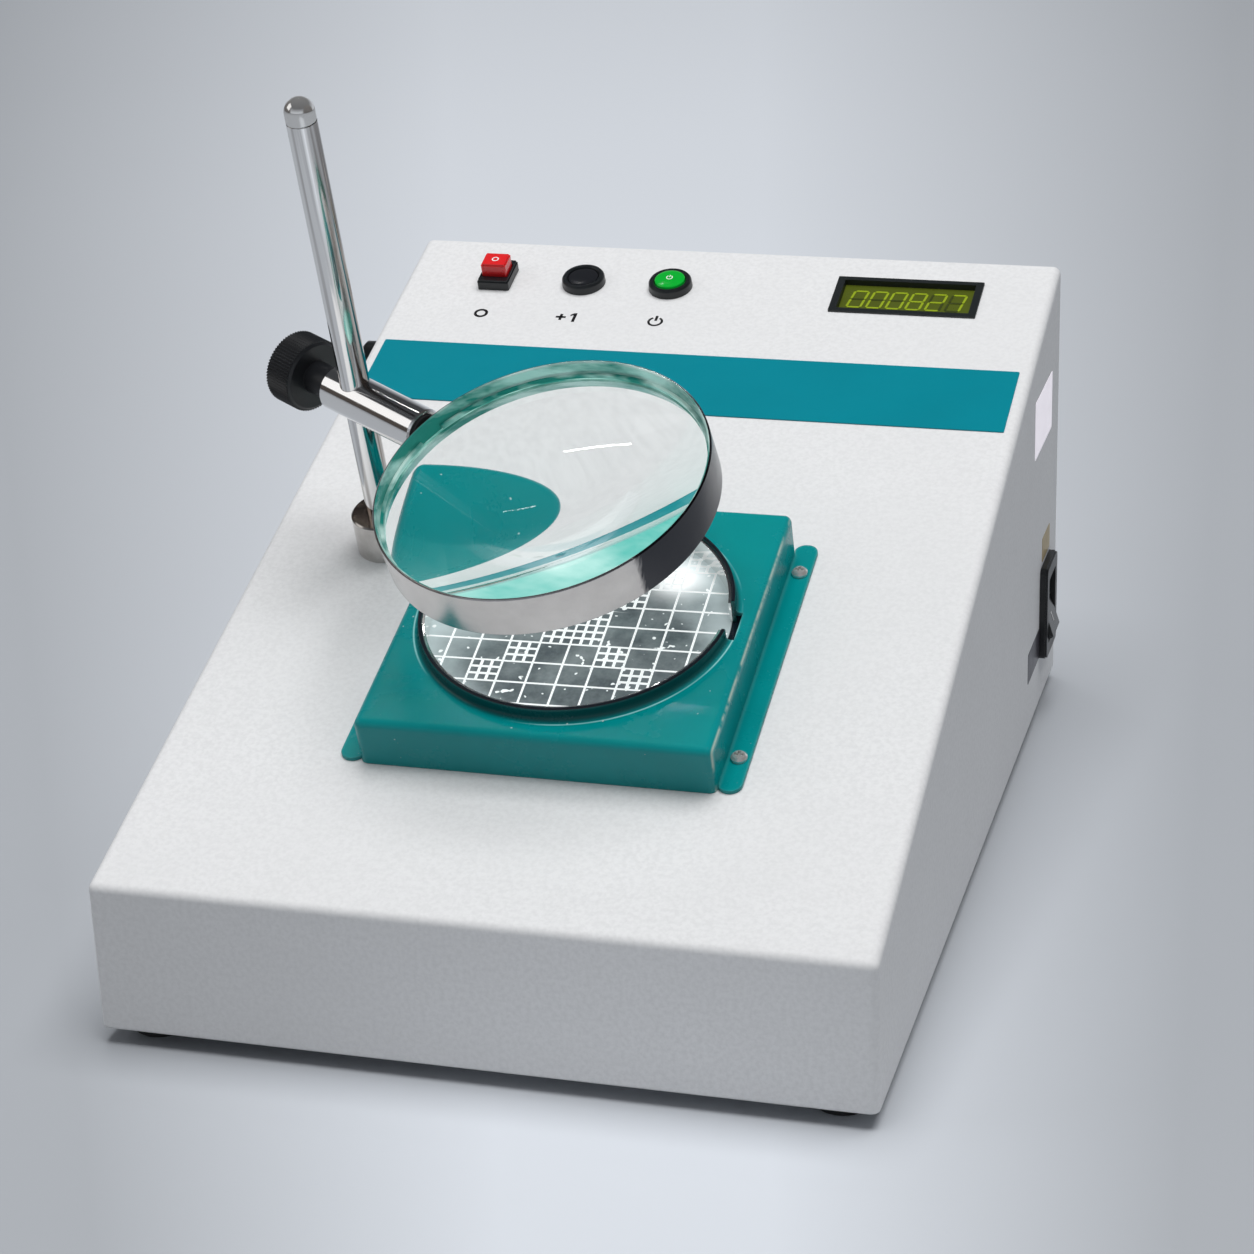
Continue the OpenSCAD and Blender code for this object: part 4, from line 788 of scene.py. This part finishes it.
class COUNTER_OT_post(bpy.types.Operator):
    """Finishes the post, its collar, the arm and the clamp knob"""

    bl_idname = "counter.post"
    bl_label = "Post and clamp"

    def execute(self, context):
        up_post = tuple(on_panel(0.0, 0.0).col[2].xyz.normalized())
        dress(streaked_reflection_plating("post_chrome", up_post, 0.07), "post_rod")
        dress(chrome("arm_chrome", 0.09), "clamp_arm")
        dress(finish("cap_chrome", (0.80, 0.79, 0.775), 0.10, metallic=0.82, tone=0.06,
                     edge=0.25), "post_cap")
        dress(self.collar_nickel(up_post), "post_collar")
        dress(finish("knob_plastic", (0.012, 0.013, 0.015), 0.42, tone=0.15, grain=500.0,
                     grain_depth=0.03, edge=0.3, wear_and_sheen=0.4), "clamp_knob")
        return {"FINISHED"}

    def collar_nickel(self, up):
        """Nickel with blotchy tone, darker and browner on its end face."""
        sketch = MaterialSketch("collar_nickel")
        facing = sketch.vector("DOT_PRODUCT", sketch.node("ShaderNodeNewGeometry").outputs["Normal"], up)
        stain = sketch.spread(sketch.noise(160.0, 5.0, 0.6), 0.3, 0.7)
        wall = sketch.blend(stain, (0.50, 0.48, 0.46), (0.66, 0.64, 0.62))
        end = sketch.blend(stain, (0.13, 0.10, 0.085), (0.22, 0.18, 0.15))
        sketch.feed(Base_Color=sketch.blend(sketch.spread(facing, 0.6, 0.9), wall, end))
        sketch.feed(Roughness=sketch.spread(stain, 0.0, 1.0, 0.10, 0.18))
        sketch.feed(Normal=sketch.relief(stain, 0.3, 0.008, sketch.soft_edge(0.3)), Metallic=1.0)
        return sketch.material


class COUNTER_OT_magnifier(bpy.types.Operator):
    """Makes the ground lens and finishes its ring"""

    bl_idname = "counter.magnifier"
    bl_label = "Magnifier"

    def execute(self, context):
        dress(self.ring_steel(), "lens_ring")
        dress(self.painted_glow_edge("retainer_mint", 0.10), "lens_retainer")
        radius, curve, edge = 54.15, 262.0, 3.0
        half = math.asin(radius / curve)
        crown = edge / 2 - curve * math.cos(half)
        steps = 40
        top = [(curve * math.sin(half * i / steps), curve * math.cos(half * i / steps) + crown)
               for i in range(steps + 1)]
        profile = top + [(r, -z) for r, z in reversed(top)]
        bm = bmesh.new()
        revolve(bm, profile, 160)
        for face in bm.faces:
            if all(math.hypot(vert.co.x, vert.co.y) > radius - 0.01 for vert in face.verts):
                face.material_index = 1
        glass = clear_glass("lens_glass", (0.985, 1.0, 0.995), painted_edge_glow=(0.02, 0.34, 0.29))
        lens = add_piece("ground_lens", bm, lens_frame(), glass, "lens")
        lens.data.materials.append(self.painted_glow_edge("lens_edge", 0.55))
        lens.visible_shadow = False
        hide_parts("magnifier_lens")
        return {"FINISHED"}

    def ring_steel(self):
        """Satin steel outside, with a painted dark reflection on its right side and the lens's mint light
        painted on the inner wall, which glows.
        """
        sketch = MaterialSketch("ring_steel")
        stain = sketch.spread(sketch.noise(70.0, 6.0, 0.65), 0.3, 0.7)
        steel = sketch.blend(stain, (0.50, 0.485, 0.482), (0.60, 0.59, 0.585))
        axis = lens_frame().col[2].xyz.normalized()
        # Painted reflection: the right side is painted dark, as it would mirror the dark of the room, with a
        # ragged end.
        ragged = sketch.math("MULTIPLY", sketch.noise(90.0, 4.0, 0.7, (1.0, 1.0, 0.3)), 0.010)
        right = (0.994, -0.045, 0.102)
        rightward = sketch.math("ADD", sketch.component(right), ragged)
        edge_at = lens_frame().translation.dot(Vector(right)) + RING_DARK_AT
        steel = sketch.blend(sketch.spread(rightward, edge_at, edge_at + 0.0016), steel, (0.06, 0.062, 0.07))
        # Painted light: the inner wall is painted with the lens's mint light, and glows.
        inner_wall, past_wall = 0.0549, 0.0550
        off_axis = sketch.off_axis(lens_frame().translation, axis)
        inside = sketch.spread(off_axis, inner_wall, past_wall, 1.0, 0.0)
        painted_reflection_streak = sketch.spread(sketch.noise(30.0, 4.0, 0.6, (1.0, 1.0, 3.0)), 0.42, 0.62)
        mint = sketch.blend(painted_reflection_streak, (0.03, 0.25, 0.21), (0.62, 0.82, 0.78))
        sketch.feed(Base_Color=sketch.blend(inside, steel, mint))
        sketch.feed(Emission_Color=sketch.blend(inside, BLACK, mint), Emission_Strength=0.12)
        sketch.feed(Metallic=sketch.spread(inside, 0.0, 1.0, 1.0, 0.35))
        sketch.feed(Roughness=sketch.spread(sketch.noise(120.0, 5.0, 0.6), 0.3, 0.7, 0.17, 0.25))
        scuff = sketch.noise(420.0, 3.0, 0.6)
        sketch.feed(Normal=sketch.relief(scuff, 0.5, 0.006, sketch.soft_edge(0.3)))
        return sketch.material

    def painted_glow_edge(self, name, strength):
        """Painted reflection: mint and white streaks that glow, as a ground glass edge would gather them."""
        sketch = MaterialSketch(name)
        painted_reflection_streak = sketch.spread(sketch.noise(40.0, 3.0, 0.5, (1.0, 1.0, 3.0)), 0.46, 0.58)
        tint = sketch.blend(painted_reflection_streak, (0.01, 0.24, 0.20), (0.66, 0.86, 0.81))
        sketch.feed(Base_Color=tint, Emission_Color=tint, Emission_Strength=strength)
        sketch.feed(Roughness=0.3, Metallic=0.4)
        return sketch.material


class COUNTER_OT_buttons(bpy.types.Operator):
    """Finishes the push buttons and prints their symbols"""

    bl_idname = "counter.buttons"
    bl_label = "Push buttons"

    def execute(self, context):
        colours = context.scene.counter_finish
        dress(finish("switch_plastic", (0.010, 0.012, 0.014), 0.38, tone=0.12, grain=420.0,
                     grain_depth=0.02, edge=0.35, wear_and_sheen=0.3),
              "reset_switch_body", "count_switch_body", "power_switch_body")
        dress(finish("reset_red", tuple(colours.reset), 0.28, tone=0.04, edge=0.4,
                     Coat_Weight=0.3), "reset_cap")
        dress(finish("count_black", (0.012, 0.013, 0.016), 0.16, tone=0.1, edge=0.3,
                     Coat_Weight=0.5), "count_cap")
        dress(glow(finish("power_green", tuple(colours.power), 0.16, tone=0.06, tone_scale=300.0, edge=0.3,
                          Coat_Weight=0.6), (0.0, 0.5, 0.04), 0.25), "power_cap")
        paint = finish("symbol_white", (0.85, 0.85, 0.85), 0.5, tone=0.04, edge=0.0)
        ink = finish("symbol_ink", (0.008, 0.008, 0.009), 0.5, tone=0.1, edge=0.0)
        self.add_marks(paint)
        self.add_captions(ink)
        return {"FINISHED"}

    def add_marks(self, paint):
        bm = bmesh.new()
        band(bm, 1.15, 0.45, 0, 360, 0.0, 0.05)
        add_flat("reset_mark", bm, on_panel(RESET_U, ROW_V, RESET_TOP), paint, "reset_button")
        bm = bmesh.new()
        band(bm, 1.1, 0.35, 120, 420, 0.0, 0.06)
        bar(bm, -0.18, 0.2, 0.18, 1.6, 0.0, 0.06)
        at = on_panel(RESET_U + 2 * BUTTON_PITCH, ROW_V, POWER_TOP)
        add_flat("power_mark", bm, at, paint, "power_button")

    def add_captions(self, ink):
        """Plain signs under the buttons: nought, plus one and the power sign."""
        low, high = 0.0, 0.04
        nought, plus_one, power = bmesh.new(), bmesh.new(), bmesh.new()
        band(nought, 1.25, 0.6, 0, 360, low, high)
        bar(plus_one, -2.6, -0.3, -0.4, 0.3, low, high)
        bar(plus_one, -1.8, -1.1, -1.2, 1.1, low, high)
        bar(plus_one, 1.2, -1.6, 1.85, 1.6, low, high)
        prism(plus_one, [(1.2, 1.6), (1.2, 0.9), (0.5, 0.5), (0.5, 1.0)], low, high)
        band(power, 1.45, 0.5, 120, 420, low, high)
        bar(power, -0.28, 0.3, 0.28, 2.1, low, high)
        signs = (("reset_sign", nought), ("count_sign", plus_one), ("power_sign", power))
        for place, (name, bm) in enumerate(signs):
            at = on_panel(RESET_U + place * BUTTON_PITCH - 0.4, CAPTION_V, 0.02)
            add_flat(name, bm, at @ Matrix.Scale(CAPTION_SCALE, 4), ink)


class COUNTER_OT_display(bpy.types.Operator):
    """Makes the display's window and its lit digits"""

    bl_idname = "counter.display"
    bl_label = "Display"

    # Segments of each figure, in the order top, upper right, lower right,
    # bottom, lower left, upper left, middle.
    FIGURES = ("1111110", "0110000", "1101101", "1111001", "0110011",
               "1011011", "1011111", "1110000", "1111111", "1111011")

    def execute(self, context):
        colours = context.scene.counter_finish
        sizes = context.scene.counter_detail
        dress(finish("bezel_plastic", (0.014, 0.017, 0.018), 0.42, tone=0.12, grain=420.0,
                     grain_depth=0.02, edge=0.3, wear_and_sheen=0.3), "display_bezel")
        dress(glow(finish("window_olive", (0.05, 0.065, 0.008), 0.3, tone=0.12, tone_scale=90.0,
                          edge=0.0), (0.16, 0.20, 0.014), 0.2), "display_cell")
        lit = glow(finish("digit_lit", tuple(colours.digits), 0.5, tone=0.05, edge=0.0),
                   tuple(colours.digits), 0.12)
        dim = finish("digit_dim", (0.042, 0.054, 0.01), 0.45, tone=0.08, edge=0.0)
        self.add_digits(sizes, lit, dim)
        return {"FINISHED"}

    def add_digits(self, sizes, lit, dim):
        height, lean = sizes.digit_height, 0.16
        width, stroke = height * 0.50, height * 0.085
        pitch = 7.4
        text = "%06d" % sizes.reading
        meshes = {"digits_lit": bmesh.new(), "digits_dim": bmesh.new()}
        for place, figure in enumerate(text):
            centre = (place - (len(text) - 1) / 2) * pitch
            for segment, on in enumerate(self.FIGURES[int(figure)]):
                bm = meshes["digits_lit" if on == "1" else "digits_dim"]
                self.add_segment(bm, segment, centre, width, height, stroke, lean)
        frame_at = on_panel(DISPLAY_U, ROW_V, DISPLAY_N)
        for name, bm in meshes.items():
            add_flat(name, bm, frame_at, lit if name == "digits_lit" else dim, "root")

    def add_segment(self, bm, segment, centre, width, height, stroke, lean):
        half, gap, tip = stroke / 2, stroke * 0.16, stroke / 2
        x, y = width / 2, height / 2
        flat = {0: y, 3: -y, 6: 0.0}
        if segment in flat:
            level = flat[segment]
            end = x - gap
            outline = [(-end, level), (-end + tip, level - half), (end - tip, level - half),
                       (end, level), (end - tip, level + half), (-end + tip, level + half)]
        else:
            side = x if segment in (1, 2) else -x
            low = gap if segment in (1, 5) else -y + gap
            high = y - gap if segment in (1, 5) else -gap
            outline = [(side, low), (side + half, low + tip), (side + half, high - tip),
                       (side, high), (side - half, high - tip), (side - half, low + tip)]
        prism(bm, [(px + py * lean + centre, py) for px, py in outline], 0.0, 0.08)


class COUNTER_OT_side_fittings(bpy.types.Operator):
    """Finishes the side switch, the inlet and the pen socket, and adds bare plates"""

    bl_idname = "counter.side_fittings"
    bl_label = "Side fittings"

    def execute(self, context):
        dress(finish("fitting_plastic", (0.006, 0.007, 0.008), 0.34, tone=0.14, grain=420.0,
                     grain_depth=0.025, edge=0.35, wear_and_sheen=0.3),
              "side_switch_frame", "mains_inlet", "pen_socket")
        dress(finish("rocker_plastic", (0.006, 0.007, 0.008), 0.25, tone=0.1, edge=0.4,
                     Coat_Weight=0.4), "side_rocker")
        dress(finish("pin_nickel", (0.62, 0.57, 0.45), 0.25, metallic=1.0), "inlet_pins")
        self.add_rocker_marks()
        self.add_plates()
        return {"FINISHED"}

    def add_rocker_marks(self):
        paint = finish("rocker_paint", (0.8, 0.8, 0.8), 0.5, tone=0.05, edge=0.0)
        place = Vector(JOINTS["side_rocker_tilt"]["pos_m"])
        base = frame_matrix(place, BACK, UP, ACROSS)
        lean, corner, radius = math.radians(9.0), math.radians(27.0), 12.6
        # Each half of the rocker's face leans back from the middle crease.
        half_face = radius * math.cos(corner) / 2
        level = radius * math.sin(corner) - half_face * math.tan(lean)
        tilt = Matrix.Rotation(-lean, 4, "X")
        for name, sign in (("rocker_mark_upper", 1), ("rocker_mark_lower", -1)):
            half = Matrix.Translation((0, sign * half_face, level)) @ Matrix.Rotation(sign * lean, 4, "X")
            bm = bmesh.new()
            if sign > 0:
                band(bm, 1.6, 0.5, 0, 360, 0.02, 0.08)
            else:
                bar(bm, -0.3, -1.8, 0.3, 1.8, 0.02, 0.08)
            add_flat(name, bm, base @ tilt @ half, paint, "side_rocker")

    def add_plates(self):
        """Bare plates: white, gold and grey foil; the white one glows with painted light."""
        plates = (
            ("plate_white", 310.0, 115.0, 40.0, 22.0, (0.86, 0.82, 0.88), 0.45, 0.0, 0.42),
            ("plate_gold", 321.0, 60.8, 18.0, 9.5, (0.42, 0.31, 0.12), 0.35, 0.4, 0.0),
            ("plate_foil", 294.5, 25.0, 27.0, 12.0, (0.085, 0.082, 0.10), 0.35, 0.5, 0.0),
        )
        for name, y, z, width, length, colour, roughness, metallic, plate_glow in plates:
            bm = bmesh.new()
            prism(bm, rounded(width, length, 0.8), 0.0, 0.12)
            material = finish(name + "_film", colour, roughness, metallic=metallic, tone=0.10,
                              tone_scale=180.0, edge=0.0)
            # Painted light: a plate with a glow strength glows though it is no lamp.
            glow(material, colour, plate_glow)
            add_flat(name, bm, on_right_wall(y, z, 0.01), material)


class COUNTER_OT_fasteners(bpy.types.Operator):
    """Finishes the screws, nuts, pillars and clips"""

    bl_idname = "counter.fasteners"
    bl_label = "Fasteners"

    def execute(self, context):
        bright = finish("screw_nickel", (0.80, 0.79, 0.77), 0.24, metallic=0.7, tone=0.08, edge=0.15)
        dress(bright, "stage_screws", "lens_stud", "clamp_screw", "inlet_screws")
        dull = finish("zinc_plating", (0.52, 0.53, 0.54), 0.36, metallic=1.0, tone=0.12, edge=0.15)
        dress(dull, "base_screws", "foot_screws", "foot_nuts", "collar_nut", "switch_nuts",
              "board_pillars", "supply_pillars", "pen_socket_nut", "lamp_clips")
        return {"FINISHED"}


class COUNTER_OT_inner_parts(bpy.types.Operator):
    """Finishes the boards, ballast and transformer inside the housing"""

    bl_idname = "counter.inner_parts"
    bl_label = "Inner parts"

    def execute(self, context):
        dress(finish("board_lacquer", (0.02, 0.12, 0.045), 0.35, tone=0.15, tone_scale=200.0),
              "counter_board", "supply_board", "display_board")
        dress(finish("component_case", (0.02, 0.02, 0.024), 0.4, tone=0.2), "counter_parts", "supply_parts")
        dress(finish("core_varnish", (0.10, 0.10, 0.11), 0.4, metallic=0.7, tone=0.2, grain=1500.0,
                     stretch=(0.1, 1, 0.1)), "transformer_core")
        dress(finish("coil_wrap", (0.45, 0.27, 0.06), 0.5, tone=0.15), "transformer_coil")
        dress(finish("ballast_grey", (0.32, 0.33, 0.34), 0.45, tone=0.1), "lamp_ballast")
        return {"FINISHED"}


class COUNTER_PT_sidebar(bpy.types.Panel):
    """Lists the settings and the pieces"""

    bl_idname = "COUNTER_PT_sidebar"
    bl_label = "Colony counter"
    bl_space_type = "VIEW_3D"
    bl_region_type = "UI"
    bl_category = "Colony counter"

    def draw(self, context):
        layout = self.layout
        for name, _ in GROUPS:
            group, box = getattr(context.scene, name), layout.box()
            for key in group.__annotations__:
                box.prop(group, key)
        for operator in PIECES:
            layout.operator(operator.bl_idname)


PIECES = (
    COUNTER_OT_camera, COUNTER_OT_studio, COUNTER_OT_housing, COUNTER_OT_stage_cover,
    COUNTER_OT_counting_grid, COUNTER_OT_post, COUNTER_OT_magnifier, COUNTER_OT_buttons,
    COUNTER_OT_display, COUNTER_OT_side_fittings, COUNTER_OT_fasteners, COUNTER_OT_inner_parts,
)
GROUPS = (("counter_finish", FinishSettings), ("counter_detail", DetailSettings),
          ("counter_studio", StudioSettings))


def register():
    for _, group in GROUPS:
        bpy.utils.register_class(group)
    for operator in PIECES:
        bpy.utils.register_class(operator)
    bpy.utils.register_class(COUNTER_PT_sidebar)
    for name, group in GROUPS:
        setattr(bpy.types.Scene, name, bpy.props.PointerProperty(type=group))


def unregister():
    for name, _ in GROUPS:
        delattr(bpy.types.Scene, name)
    bpy.utils.unregister_class(COUNTER_PT_sidebar)
    for operator in reversed(PIECES):
        bpy.utils.unregister_class(operator)
    for _, group in reversed(GROUPS):
        bpy.utils.unregister_class(group)


def main():
    """Makes every piece."""
    register()
    for operator in PIECES:
        _, name = operator.bl_idname.split(".")
        getattr(bpy.ops.counter, name)()


if __name__ == "__main__":
    main()
